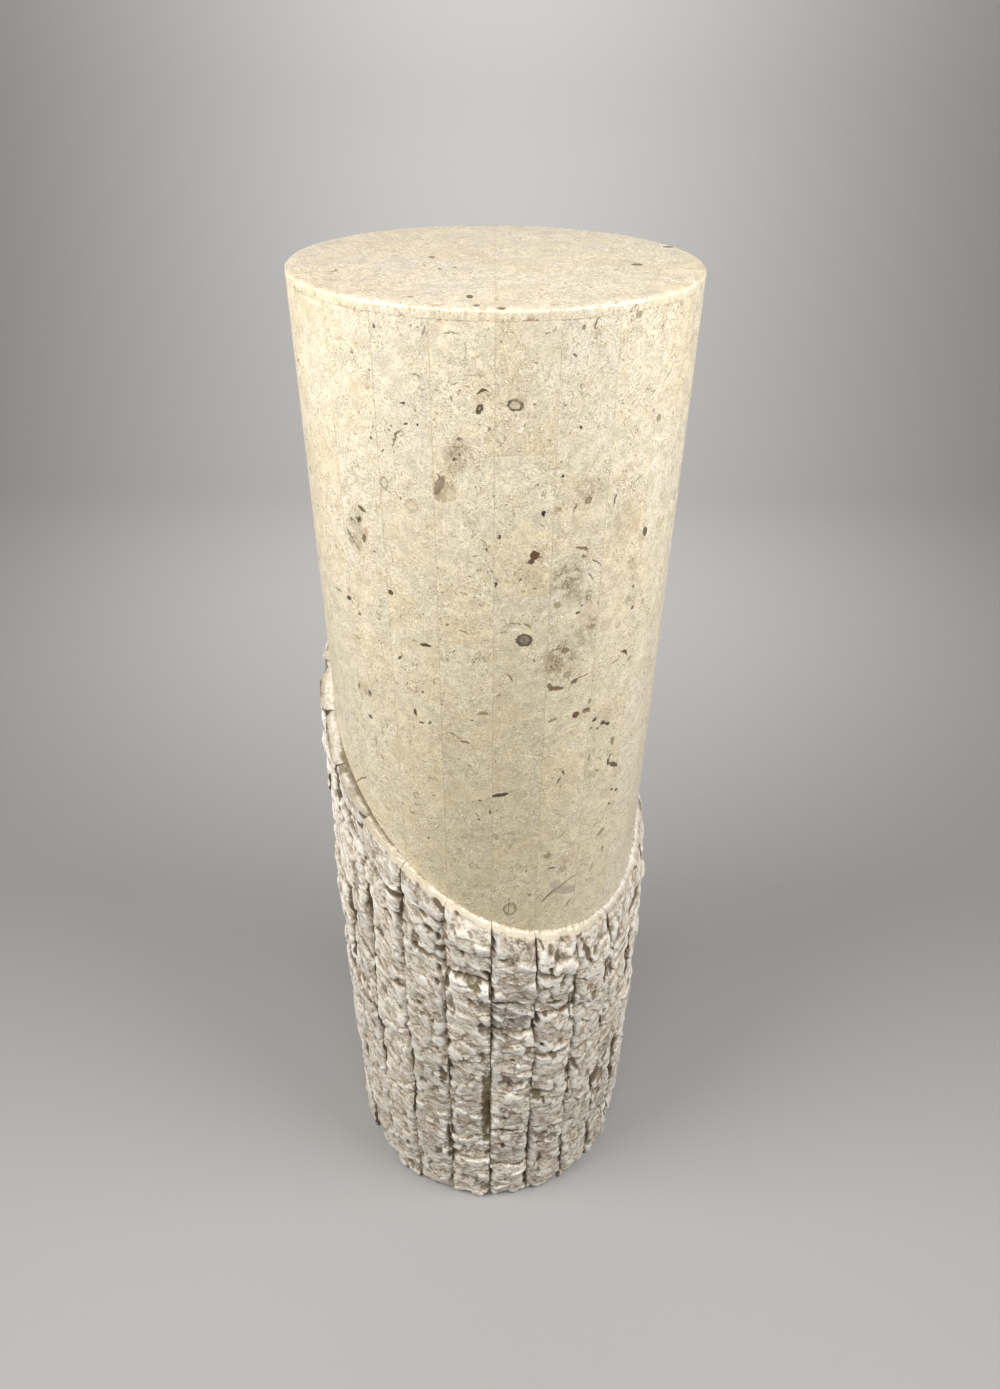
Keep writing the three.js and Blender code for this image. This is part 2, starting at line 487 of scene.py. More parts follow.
def speckled_areas(graph, place, clouds, ground):
    """Brownish areas filled with a hash of fine dark lines."""
    patchy = graph.range(graph.noise(place, 0.13, detail=4.0), 0.40, 0.56, 0.1, 1.0)
    hash_lines = graph.from_middle(graph.noise(place, 0.5, distortion=1.4))
    hash_lines = graph.range(hash_lines, 0.085, 0.03)
    for *ellipse, strength in clouds:
        distance = graph.vector("LENGTH", graph.local(place, *ellipse))
        inside = graph.times(graph.range(distance, 1.3, 0.5, 0.0, strength), patchy)
        ground = graph.mix(graph.times(inside, 0.5), ground, INKS["tan"])
        ground = graph.mix(graph.times(inside, hash_lines), ground, HASH)
    return ground


def uneven_place(graph, place):
    """The place moved a little and its third part raised, so that fossils have uneven edges."""
    wobble = graph.noise(place, 0.55, output="Color")
    wobble = graph.vector("SUBTRACT", wobble, (NOISE_MIDDLE, NOISE_MIDDLE, NOISE_MIDDLE))
    wobble = graph.vector("MULTIPLY", wobble, (2.4, 2.4, 0))
    fleck = graph.range(graph.noise(place, 0.6), 0.55, 0.75, 0.0, 0.7)
    raised = graph.node("ShaderNodeCombineXYZ", {2: fleck})
    return graph.moved(graph.moved(place, wobble), raised)


def add_mark(graph, base, place, broken, mark):
    """Lays one fossil over the base colour. Patches show only where broken is high. Gives the
    new colour and the fossil's mask."""
    kind, *ellipse, ink, strength = mark
    local = graph.local(place, *ellipse)
    if kind == "arc":
        along, over, raised = graph.parts(local)
        lifted = graph.math("MULTIPLY_ADD", graph.times(along, along), -ARC_BEND, over)
        lowered = graph.math("ADD", lifted, ARC_BEND / 2)
        local = graph.node("ShaderNodeCombineXYZ", {0: along, 1: lowered, 2: raised})
    distance = graph.vector("LENGTH", local)
    if kind == "patch":
        mask = graph.times(graph.range(distance, 1.2, 0.3, 0.0, strength), broken)
    else:
        mask = graph.range(distance, 1.16, 0.92, 0.0, strength)
    if kind == "ring":
        mask = graph.times(mask, graph.range(distance, 0.76, 0.54, 1.0, RING_FILL))
    return graph.mix(mask, base, INKS[ink]), mask


def joint_dirt(graph, place, ground):
    """Filler as a faint broken line along each joint, and dirt in the chipped rim."""
    near_joint = graph.range(graph.attribute("side"), 0.0, 0.6, 1.0, 0.0)
    worn = graph.range(graph.noise(place, 0.06, detail=3.0), 0.4, 0.7, 0.2, 0.65)
    ground = graph.mix(graph.times(near_joint, worn), ground, INKS["tan"])
    chipped = graph.range(graph.noise(place, 0.28, detail=4.0), 0.51, 0.6, 0.0, 0.85)
    here = graph.range(graph.noise(place, 0.035), 0.46, 0.60, 0.1, 1.0)
    rim_dirt = graph.times(graph.attribute("rim"), graph.times(chipped, here))
    return graph.mix(rim_dirt, ground, RIM_DIRT)


def polished_stone(name, shift, tone, marks, clouds, top_shade_tone=None):
    """Polished fossil limestone. place is the flattened surface in millimetres, shift moves
    the pattern so that neighbours differ, and tone is the piece's own tint."""
    graph = Graph(name)
    place = graph.attribute("place", "Vector")
    cut = graph.moved(place, shift)
    ground = cream_ground(graph, place, cut, tone, top_shade_tone)

    mottle = graph.noise(cut, 0.11, detail=5.0, distortion=0.6)
    ground = graph.shade(ground, graph.range(mottle, 0.32, 0.68, 0.84, 1.11))
    tan_cloud = graph.noise(graph.moved(cut, (90, 12, 33)), 0.05, detail=4.0, distortion=0.5)
    ground = graph.mix(graph.range(tan_cloud, 0.53, 0.70, 0.0, 0.5), ground, TAN_CLOUD)
    grain = graph.noise(cut, 0.7, detail=4.0, distortion=0.8)
    ground = graph.shade(ground, graph.range(grain, 0.3, 0.7, 0.84, 1.13))

    ground, dark_lines = shell_marks(graph, cut, ground)
    ground = speckled_areas(graph, place, clouds, ground)
    uneven = uneven_place(graph, place)
    broken = graph.noise(place, 0.26, detail=3.0, distortion=0.8)
    broken = graph.range(broken, 0.44, 0.57, 0.15, 1.35)
    dents = dark_lines
    for mark in marks:
        ground, mask = add_mark(graph, ground, uneven, broken, mark)
        dents = graph.math("MAXIMUM", dents, mask)
    ground = joint_dirt(graph, place, ground)

    # Dents are duller than the polish. Only the dark lines are also sunk into it.
    gloss = graph.range(mottle, 0.3, 0.7, 0.30, 0.42)
    roughness = graph.math("MULTIPLY_ADD", dents, 0.2, gloss)
    relief = graph.bump(graph.times(dark_lines, -1.0), 0.35, 0.25)
    relief = graph.bump(grain, 0.05, 0.3, relief)
    return graph.finish(ground, roughness, 0.5, relief)


# Colours of the split stone
SPLIT_INKS = {
    "warm cream": colour(0.69, 0.61, 0.485),
    "cream": colour(0.80, 0.735, 0.615),
    "pink": colour(0.64, 0.515, 0.42),
    "dull": colour(0.37, 0.295, 0.205),
    "grey": colour(0.25, 0.225, 0.205),
    "red": colour(0.41, 0.27, 0.18),
    "pale streak": colour(0.90, 0.855, 0.765),
    "dark streak": colour(0.30, 0.24, 0.165),
    "hole": colour(0.20, 0.15, 0.085),
    # pale is the colour of painted highlights on what stands out, and of the whitish rough ledge
    "pale": colour(0.90, 0.87, 0.80),
    "crease": colour(0.24, 0.18, 0.11),
    "soil": colour(0.14, 0.10, 0.058),
    "olive soil": colour(0.24, 0.19, 0.10),
    "sawn": colour(0.58, 0.48, 0.34),
    "pale sawn": colour(0.86, 0.79, 0.64),
}


def split_stone():
    """Split-face stone: whitish with brown dirt in its pits and a sawn cream top end."""
    graph = Graph("split_stone")
    inks = SPLIT_INKS
    place = graph.attribute("place", "Vector")
    olive, grey, red = graph.parts(graph.attribute("stain", "Vector"))

    cloud = graph.noise(place, 0.035, detail=3.0)
    ground = graph.mix(graph.range(cloud, 0.36, 0.66), inks["warm cream"], inks["cream"])
    pink = graph.noise(graph.moved(place, (70, 31, 8)), 0.05, detail=3.0)
    ground = graph.mix(graph.range(pink, 0.46, 0.68, 0.0, 0.75), ground, inks["pink"])
    dull = graph.noise(graph.moved(place, (9, 310, 4)), 0.075, detail=4.0, distortion=0.6)
    ground = graph.mix(graph.range(dull, 0.46, 0.63, 0.0, 0.85), ground, inks["dull"])
    ground = graph.shade(ground, graph.range(graph.attribute("tone"), 0.0, 1.0, 0.76, 1.24))
    ground = graph.mix(graph.times(grey, 0.85), ground, inks["grey"])
    ground = graph.mix(graph.times(red, 0.75), ground, inks["red"])

    # The stone splits across its length, so its fine streaks lie flat
    flat = graph.vector("MULTIPLY", place, (0.7, 1.1, 0.9))
    fine = graph.noise(flat, 0.36, detail=6.0, distortion=0.7)
    ground = graph.mix(graph.range(fine, 0.50, 0.64, 0.0, 0.75), ground, inks["pale streak"])
    ground = graph.mix(graph.range(fine, 0.47, 0.32, 0.0, 0.9), ground, inks["dark streak"])
    grain = graph.noise(place, 0.9, detail=5.0, distortion=0.3)
    ground = graph.shade(ground, graph.range(grain, 0.3, 0.7, 0.82, 1.15))

    # Holes gather where the stone is dull
    holes = graph.noise(graph.moved(place, (3, 8, 60)), 0.21, detail=4.0, distortion=0.6)
    holes = graph.range(holes, 0.58, 0.68, 0.0, 0.85)
    holes = graph.times(holes, graph.range(dull, 0.38, 0.6, 0.25, 1.0))
    ground = graph.mix(holes, ground, inks["hole"])
    # Painted highlights where the split face stands out, and the whitish rough ledge
    ground = graph.mix(graph.times(graph.attribute("pale"), 0.6), ground, inks["pale"])
    ground = graph.mix(graph.times(graph.attribute("crease"), 0.65), ground, inks["crease"])

    # The sawn cut, and dirt with a smeared edge over everything
    cut_face = graph.mix(graph.range(fine, 0.38, 0.62), inks["sawn"], inks["pale sawn"])
    ground = graph.mix(graph.times(graph.attribute("sawn"), 0.9), ground, cut_face)
    smear = graph.noise(place, 0.2, detail=4.0, distortion=0.8)
    smear = graph.math("SUBTRACT", smear, NOISE_MIDDLE)
    dirt_edge = graph.math("MULTIPLY_ADD", smear, 0.9, graph.attribute("dirt"))
    soil = graph.mix(graph.times(olive, 0.85), inks["soil"], inks["olive soil"])
    ground = graph.mix(graph.range(dirt_edge, 0.2, 0.95, 0.0, 0.92), ground, soil)

    relief = graph.bump(grain, 0.6, 0.8)
    relief = graph.bump(fine, 0.4, 1.0, relief)
    return graph.finish(ground, 0.9, 0.25, relief)


def brown_backing():
    """The core's brown filler, in the object's own millimetres."""
    graph = Graph("brown_backing")
    metres = graph.node("ShaderNodeTexCoord", {}, "Object")
    place = graph.vector("MULTIPLY", metres, (1000, 1000, 1000))
    cloud = graph.noise(place, 0.12, detail=5.0, distortion=0.6)
    dark = colour(0.10, 0.07, 0.03)
    light = colour(0.26, 0.19, 0.09)
    ground = graph.mix(graph.range(cloud, 0.3, 0.7), dark, light)
    return graph.finish(ground, 0.75, 0.5, graph.bump(cloud, 0.5, 1.0))


# Fossils on the polished strips, listed one by one where the front shows them. Each row holds
# the kind, the angle round the column in degrees, the depth below the top, the length, the
# width, the turn in degrees, the ink and its strength. Sizes are in millimetres.
FOSSILS = [
    ("oval", -29.9, 6, 2, 2, 0, "grey", 0.6),
    ("oval", -29.9, 13.5, 1.4, 2, 0, "dark", 0.9),
    ("oval", -23.2, 52.6, 3.4, 1.3, 0, "dark", 0.95),
    ("oval", -22.4, 64.2, 3, 1.8, -30, "brown", 1.0),
    ("oval", -19.3, 64.2, 1.4, 1.4, 0, "dark", 1.0),
    ("arc", -25.1, 71.2, 7.5, 1.5, -52, "dark", 0.8),
    ("oval", -26.2, 76.5, 6, 1.5, -72, "brown", 0.8),
    ("oval", -26.7, 67.4, 1.5, 1.1, 0, "dark", 0.8),
    ("oval", -27.5, 69.9, 1.8, 1.2, 30, "dark", 0.8),
    ("oval", -33.3, 77, 2, 1.3, 0, "dark", 0.7),
    ("oval", -29.8, 83, 3.2, 1.3, -60, "brown", 0.8),
    ("ring", -30.0, 103, 6, 7, 0, "brown", 0.5),
    ("arc", -3.0, 42.8, 6.5, 1.8, -20, "dark", 0.95),
    ("oval", -3.7, 52.3, 6.4, 3.6, -68, "dark", 0.95),
    ("oval", -3.6, 52.0, 2.2, 1.2, -68, "tan", 0.8),
    ("oval", -6.4, 40.3, 2.4, 1.4, 0, "olive", 0.7),
    ("oval", -10.5, 47.2, 1.4, 3.2, 0, "brown", 0.7),
    ("oval", -8.4, 42.8, 1.3, 1.6, 0, "brown", 0.6),
    ("oval", -9.6, 39.4, 4.5, 0.8, -20, "brown", 0.6),
    ("arc", -19.3, 36.3, 6.5, 1, 18, "brown", 0.7),
    ("oval", -1.4, 63.8, 1.6, 2.6, 20, "brown", 0.7),
    ("oval", -8.7, 70, 3.4, 1.8, -10, "red", 0.8),
    ("patch", -9.3, 76.5, 12, 15, 0, "red", 0.34),
    ("oval", -10.9, 79, 2.4, 4, 0, "brown", 0.5),
    ("oval", -10, 82, 3.2, 2, -10, "red", 0.85),
    ("oval", -8.8, 78.7, 1.2, 2, 0, "red", 0.8),
    ("oval", -14.2, 92.6, 3.4, 1, 45, "dark", 0.8),
    ("oval", -14.1, 98.5, 5, 13, 25, "red", 0.62),
    ("oval", -14.6, 104.5, 4, 8, 10, "brown", 0.5),
    ("patch", -13.0, 106, 6, 12, 10, "tan", 0.5),
    ("patch", -10.8, 100, 6, 9, 0, "olive", 0.3),
    ("oval", -4.8, 98, 1.2, 1.2, 0, "dark", 0.8),
    ("oval", -0.2, 103.7, 1.1, 1.1, 0, "black", 0.8),
    ("oval", -16.7, 12.5, 6, 0.9, -68, "dark", 0.6),
    ("arc", -10.1, 12.9, 8.5, 1, 0, "brown", 0.7),
    ("arc", -4.9, 34.4, 11, 0.8, 0, "tan", 0.6),
    ("oval", 12.1, 12.4, 3.4, 0.9, -10, "dark", 0.7),
    ("oval", 13.8, 11, 2.8, 0.8, -55, "dark", 0.6),
    ("oval", 20.9, 10.8, 2.8, 1.8, -60, "brown", 0.8),
    ("arc", 24.4, 8.6, 9, 1.1, -62, "brown", 0.8),
    ("oval", 36.4, 8, 4.6, 4.2, 0, "grey", 0.75),
    ("oval", 19.1, 25, 3, 1, 35, "dark", 0.8),
    ("ring", 4.9, 50.2, 9, 6.4, 8, "dark", 0.97),
    ("patch", 5.0, 49.4, 15, 11, 0, "tan", 0.35),
    ("oval", 5.4, 41.7, 2.6, 2, 0, "tan", 0.6),
    ("oval", 9.6, 50.3, 1.4, 1.2, 0, "dark", 0.8),
    ("oval", 9.6, 28, 1.2, 1, 0, "dark", 0.7),
    ("oval", 21.8, 65.6, 1.5, 2, 0, "black", 0.95),
    ("oval", 17.1, 84.5, 1.4, 1, 0, "dark", 0.8),
    ("oval", 17.6, 93.3, 2, 1.8, 0, "black", 0.95),
    ("oval", 48.5, 71.5, 5, 5, 0, "grey", 0.8),
    ("oval", 32.5, 21, 6, 2.4, -10, "tan", 0.45),
    ("patch", 42.7, 50.5, 7, 6, 0, "brown", 0.4),
    ("arc", 36, 65, 11, 1, -25, "tan", 0.6),
    ("oval", -38.5, 124.7, 7.5, 2.8, 24, "dark", 0.85),
    ("patch", -40.6, 133.5, 11, 6, -38, "dark", 0.75),
    ("oval", -43.2, 134.7, 2.2, 2, 0, "dark", 0.8),
    ("oval", -38.6, 144.8, 3.4, 6, 15, "brown", 0.95),
    ("oval", -37.8, 139.5, 3, 6, 15, "tan", 0.7),
    ("patch", -43.6, 149, 20, 11, 45, "grey", 0.5),
    ("oval", -44.6, 146, 12, 1, 38, "dark", 0.5),
    ("oval", -43.2, 150, 15, 1.1, 40, "dark", 0.5),
    ("oval", -42.2, 147, 11, 0.9, 36, "dark", 0.4),
    ("oval", -35.1, 151.6, 2.4, 1.4, -10, "dark", 0.8),
    ("oval", -30.2, 177.8, 3.2, 4.2, -40, "dark", 0.95),
    ("oval", -48.2, 196.8, 5.5, 3.4, -15, "black", 0.9),
    ("patch", -47.5, 191.5, 7, 9, 0, "violet", 0.6),
    ("oval", -54.4, 196.6, 10, 1, -8, "dark", 0.8),
    ("oval", -43.5, 205, 3.4, 1.7, -15, "brown", 0.9),
    ("patch", -57.5, 211, 15, 16, 0, "violet", 0.4),
    ("oval", -19.7, 211.5, 8, 2.7, -2, "dark", 0.97),
    ("arc", -23.2, 210, 4.5, 1, -10, "brown", 0.6),
    ("oval", -28.5, 226.7, 4.5, 2, -48, "dark", 0.9),
    ("oval", -46.1, 226, 9, 2.6, -8, "olive", 0.5),
    ("patch", -33.4, 187, 9, 11, 0, "olive", 0.42),
    ("patch", -14, 220, 9, 5, 15, "dark", 0.4),
    ("arc", -8.5, 197, 7, 1, 25, "dark", 0.75),
    ("oval", -13, 193, 2.6, 1.2, -35, "dark", 0.7),
    ("patch", -4.6, 216, 20, 10, 0, "olive", 0.42),
    ("oval", -5.4, 220.2, 1.8, 1.3, 0, "dark", 0.8),
    ("oval", 1.5, 129.3, 1.9, 3.4, -15, "black", 0.95),
    ("oval", -1.9, 138, 1.3, 3.4, 10, "dark", 0.85),
    ("arc", -2.6, 133, 6, 0.8, 50, "brown", 0.6),
    ("oval", -4.9, 142.4, 4.2, 0.8, -5, "dark", 0.7),
    ("oval", -0.5, 152.5, 2.8, 1, 50, "dark", 0.8),
    ("oval", 0.6, 161.8, 1.8, 3.8, 10, "dark", 0.95),
    ("oval", 0.7, 158.4, 4.5, 0.8, 38, "dark", 0.7),
    ("oval", -8.2, 168.8, 6, 0.9, 20, "dark", 0.65),
    ("oval", -10.3, 169.3, 4.5, 0.7, 35, "brown", 0.6),
    ("oval", -14.3, 170, 2.8, 0.8, 45, "dark", 0.6),
    ("oval", -25.1, 110.6, 1.6, 1.3, 0, "dark", 0.9),
    ("ring", -22, 114, 9, 8, 20, "tan", 0.6),
    ("oval", -20.1, 188, 0.9, 2.4, 0, "dark", 0.8),
    ("oval", -28.7, 154.6, 1.3, 1, 0, "dark", 0.7),
    ("oval", -47.2, 268.3, 1.8, 5, 0, "dark", 0.8),
    ("patch", -42.6, 269.5, 11, 6.5, -10, "dark", 0.75),
    ("oval", -42.7, 291, 4.2, 3.2, 20, "dark", 0.9),
    ("oval", -24.2, 269.2, 2.6, 5.6, -5, "dark", 0.95),
    ("oval", -22.2, 276.9, 4, 1.8, -8, "dark", 0.85),
    ("oval", -19.4, 275.3, 2.2, 4, 20, "brown", 0.85),
    ("oval", -21.3, 250, 1.8, 1.8, 0, "dark", 0.9),
    ("oval", -26.6, 247, 3.6, 1.1, -60, "brown", 0.7),
    ("oval", -12.3, 281.8, 4.5, 2.2, 15, "olive", 0.8),
    ("oval", -10.4, 284.4, 6, 1.2, 28, "olive", 0.7),
    ("oval", -8.4, 287.7, 6.5, 2.4, 12, "brown", 0.8),
    ("oval", -2.9, 261.8, 7, 4.2, -10, "olive", 0.85),
    ("oval", -6.1, 268, 1.8, 1.4, 0, "dark", 0.9),
    ("arc", -35.5, 289.7, 7, 1.2, 80, "brown", 0.6),
    ("oval", -40.9, 312, 1.6, 6, 0, "brown", 0.6),
    ("oval", -38.5, 324, 6.5, 1.5, 60, "brown", 0.6),
    ("oval", -35.9, 330.3, 2.6, 1.7, -20, "dark", 0.7),
    ("oval", -15.9, 306, 2.4, 1.2, -20, "brown", 0.8),
    ("arc", -7.3, 308.9, 4.5, 1.1, 25, "brown", 0.7),
    ("arc", 0.6, 303, 6.5, 0.7, 80, "brown", 0.7),
    ("oval", -4, 341.3, 2.4, 1.7, 0, "dark", 0.85),
    ("oval", -6.3, 343.2, 1.5, 1, 0, "dark", 0.8),
    ("oval", -0.7, 352.7, 1.1, 5.2, 0, "dark", 0.85),
    ("oval", -4.9, 355.7, 4.5, 0.9, 42, "brown", 0.8),
    ("oval", -4.3, 360.3, 2, 1.7, 0, "dark", 0.8),
    ("oval", -19.2, 342.9, 2, 1.7, 0, "brown", 0.7),
    ("ring", -25.4, 348, 5, 7, 10, "brown", 0.45),
    ("patch", -25.1, 356.3, 8, 5, 0, "olive", 0.4),
    ("oval", -27.2, 367.3, 6, 2.6, -10, "olive", 0.6),
    ("oval", -31.1, 361.8, 3.2, 2.2, 0, "olive", 0.55),
    ("oval", -18.5, 365.5, 5, 0.9, -15, "brown", 0.6),
    ("oval", -21.8, 388.7, 2.5, 2.3, 0, "dark", 0.9),
    ("arc", -52.1, 365.4, 27, 1.4, -44, "brown", 0.85),
    ("patch", -38.3, 374.5, 12, 6, 30, "olive", 0.4),
    ("patch", -9.4, 380.1, 5, 4, 0, "brown", 0.5),
    ("patch", -5.6, 371.6, 18, 26, 0, "brown", 0.24),
    ("patch", 0.9, 378.3, 10, 7, 0, "brown", 0.35),
    ("ring", -6.1, 410, 8, 6, 20, "brown", 0.42),
    ("ring", -12.8, 346.8, 5, 5, 0, "tan", 0.5),
    ("oval", 12.8, 115.5, 2.7, 3, 30, "black", 1.0),
    ("oval", 12.6, 123, 4, 0.9, 35, "brown", 0.7),
    ("oval", 5.1, 114.7, 0.7, 3.4, -5, "brown", 0.6),
    ("oval", 10.9, 142.6, 6.2, 5.6, 0, "red", 1.0),
    ("oval", 10.1, 146.6, 4, 3.4, -30, "red", 0.97),
    ("oval", 7.3, 158.5, 2, 1.3, -30, "dark", 0.9),
    ("oval", 8.7, 203.1, 10.4, 9.2, 15, "grey", 0.9),
    ("ring", 8.7, 203.1, 11, 9.6, 15, "dark", 0.8),
    ("ring", 8.0, 203.6, 4.6, 4.4, 0, "dark", 0.6),
    ("arc", 9.4, 192.3, 7.5, 1.5, 38, "olive", 0.9),
    ("arc", 6, 190.4, 8.5, 1, 5, "brown", 0.8),
    ("patch", 6, 195.8, 9, 8, 0, "pale", 0.6),
    ("oval", 2.7, 196.5, 4.6, 1.4, 0, "olive", 0.6),
    ("arc", 4.9, 232, 7, 1.2, 55, "brown", 0.8),
    ("oval", 11.4, 165.6, 4.6, 1, 0, "brown", 0.6),
    ("oval", 8.1, 167.2, 2.6, 2, 0, "olive", 0.6),
    ("ring", 25.4, 111, 4.8, 4.6, 0, "red", 0.85),
    ("oval", 25.4, 111, 3.4, 3.2, 0, "grey", 0.7),
    ("arc", 21.6, 115, 7, 1.3, -62, "brown", 0.8),
    ("patch", 17.6, 113, 9, 6, 0, "olive", 0.6),
    ("arc", 34.1, 114.3, 7, 1.4, -78, "dark", 0.85),
    ("oval", 24.6, 142.2, 10, 2.4, 18, "brown", 0.85),
    ("oval", 25.1, 148, 3, 2.8, 0, "brown", 0.8),
    ("patch", 21.6, 148, 10, 9, 0, "violet", 0.55),
    ("arc", 29.6, 154.8, 10.5, 1.3, 38, "brown", 0.8),
    ("oval", 28, 163.8, 7.5, 1, 55, "dark", 0.7),
    ("oval", 18, 179.7, 5, 4.6, 0, "olive", 0.75),
    ("oval", 24.6, 188.5, 4, 1.5, -14, "dark", 0.95),
    ("oval", 25.7, 183.4, 2, 1.6, 0, "dark", 0.8),
    ("patch", 29.9, 200, 10, 10, 0, "grey", 0.5),
    ("patch", 34, 204, 12, 11, 0, "pink", 0.5),
    ("patch", 27.5, 191, 16, 15, 0, "pink", 0.4),
    ("oval", 22.3, 235.7, 6.6, 5.8, 0, "grey", 0.55),
    ("oval", 17.0, 243.2, 3.6, 7, -20, "brown", 0.9),
    ("oval", 19.3, 245.2, 9.5, 3.6, 14, "brown", 0.95),
    ("oval", 24.8, 242.4, 6, 3.4, -18, "dark", 0.85),
    ("oval", 27.5, 240.3, 9, 1.4, -8, "brown", 0.8),
    ("oval", 21.2, 215.7, 5, 4.6, 0, "brown", 0.75),
    ("oval", 27.3, 226.5, 1.6, 1.6, 0, "dark", 0.85),
    ("oval", 17, 226.5, 1.7, 1.5, 0, "dark", 0.85),
    ("arc", 18.2, 213.9, 8, 1, -15, "brown", 0.8),
    ("arc", 43.9, 234.7, 9.5, 2.2, 36, "dark", 0.92),
    ("oval", 40.1, 238.3, 9, 1.3, -10, "brown", 0.8),
    ("oval", 47, 243, 5, 4, 0, "olive", 0.6),
    ("oval", 47.9, 145.5, 4.6, 7, -20, "dark", 0.9),
    ("oval", 44.9, 183, 2.3, 2, 0, "dark", 0.9),
    ("oval", 45.7, 200.2, 3, 2.4, 0, "dark", 0.9),
    ("patch", 44, 193, 12, 15, 0, "olive", 0.45),
    ("oval", 42.6, 137.5, 10.5, 12, 0, "pink", 0.45),
    ("patch", 40.6, 122, 9, 16, 15, "tan", 0.4),
    ("arc", 41.3, 107, 13, 1, -25, "brown", 0.6),
    ("oval", 43.4, 162, 2.6, 2.4, 0, "grey", 0.6),
    ("patch", 32.7, 128, 4.5, 20, 0, "grey", 0.35),
    ("patch", 28.2, 133, 6, 4.6, 0, "tan", 0.5),
    ("oval", 31.5, 247, 2.6, 1.2, 10, "dark", 0.8),
    ("oval", 2.2, 335.9, 13.5, 3.4, -11, "dark", 0.97),
    ("arc", 22.9, 322.5, 6, 1.5, 65, "dark", 0.85),
    ("oval", 21.6, 329.5, 7, 1.4, -58, "dark", 0.85),
    ("oval", 26.2, 272.1, 5.8, 5.2, -20, "red", 0.97),
    ("oval", 29.9, 271.2, 6.6, 4.4, 5, "red", 0.95),
    ("patch", 30, 272.5, 14, 11, 0, "pink", 0.5),
    ("oval", 18.4, 272, 7.5, 2.4, -15, "olive", 0.85),
    ("patch", 20.3, 279.4, 7, 7, 0, "red", 0.45),
    ("oval", 33.5, 282.7, 3.4, 3.2, 0, "dark", 0.95),
    ("oval", 37.1, 289, 4.4, 3.2, 15, "dark", 0.97),
    ("oval", 39.5, 292.2, 4.4, 3, 15, "dark", 0.97),
    ("oval", 38.3, 290.8, 5, 1.8, 32, "dark", 0.9),
    ("oval", 35.1, 292.1, 2.6, 2.4, 0, "brown", 0.85),
    ("oval", 32.5, 289.3, 3.4, 2, 15, "brown", 0.7),
    ("oval", 31, 263.9, 3, 4.6, 0, "brown", 0.6),
    ("oval", 42.6, 311.8, 3.6, 8.4, -12, "olive", 0.95),
    ("arc", 42.4, 326.4, 6, 2, -50, "dark", 0.9),
    ("oval", 41.5, 331, 3, 7, -12, "dark", 0.9),
    ("oval", 44.5, 337.3, 13, 3.8, 40, "dark", 0.92),
    ("oval", 45, 363.3, 3.6, 2.6, 10, "dark", 0.97),
    ("oval", 47.7, 367.6, 4.6, 2.8, 15, "dark", 0.97),
    ("oval", 44.4, 377.4, 3.4, 2.2, 20, "dark", 0.85),
    ("oval", 41.4, 403.5, 10, 4.4, -28, "olive", 0.7),
    ("oval", 43.3, 425.4, 2.6, 7, 0, "grey", 0.75),
    ("oval", 38.1, 439.5, 3, 9, 10, "grey", 0.45),
    ("oval", 32.6, 316.8, 2.2, 6, 0, "grey", 0.7),
    ("oval", 36.5, 333, 6, 1.7, 35, "grey", 0.7),
    ("patch", 19.2, 404.9, 12, 13, 0, "olive", 0.6),
    ("patch", 27.5, 416, 24, 22, 0, "pink", 0.45),
    ("oval", 25.5, 425.4, 7.5, 6.4, 20, "olive", 0.5),
    ("oval", 21.1, 420, 6, 2, 12, "dark", 0.85),
    ("oval", 11.9, 417.6, 1.9, 3.4, 0, "brown", 0.8),
    ("ring", 6.5, 459.3, 11.5, 15, 0, "brown", 0.6),
    ("oval", 6.0, 458, 0.9, 13, 3, "brown", 0.7),
    ("oval", 13.4, 445.6, 2.8, 1.6, 10, "dark", 0.85),
    ("arc", 21.9, 449.5, 25, 2.6, -36, "brown", 0.8),
    ("arc", 28.6, 440.7, 17, 1.3, -18, "brown", 0.75),
    ("oval", 27.4, 451.5, 27, 9, 22, "violet", 0.6),
    ("oval", 22.7, 440, 10, 9, 0, "violet", 0.5),
    ("arc", 28.9, 468.4, 7, 2.2, -60, "grey", 0.8),
]

# Speckled brownish areas on the strips: angle, depth, length, width, turn and strength
SPECKLED = [
    (20.4, 163, 24, 30, 0, 0.85),
    (26.2, 177, 13, 14, 0, 0.8),
    (20.0, 222, 26, 32, 0, 0.85),
    (27.5, 205, 18, 30, 0, 0.5),
    (25.5, 104, 26, 16, 0, 0.5),
    (37.5, 130, 16, 40, 0, 0.35),
    (43.5, 168, 12, 24, 0, 0.35),
    (37.0, 285, 22, 26, 0, 0.35),
    (33.5, 330, 12, 40, 0, 0.35),
    (-41.0, 140, 22, 30, 0, 0.45),
    (-44.0, 270, 22, 14, 0, 0.4),
    (-9.5, 80, 18, 24, 0, 0.5),
    (-12.0, 100, 14, 26, 0, 0.4),
    (6.0, 380, 26, 14, 0, 0.3),
    (11.0, 160, 14, 20, 0, 0.3),
]

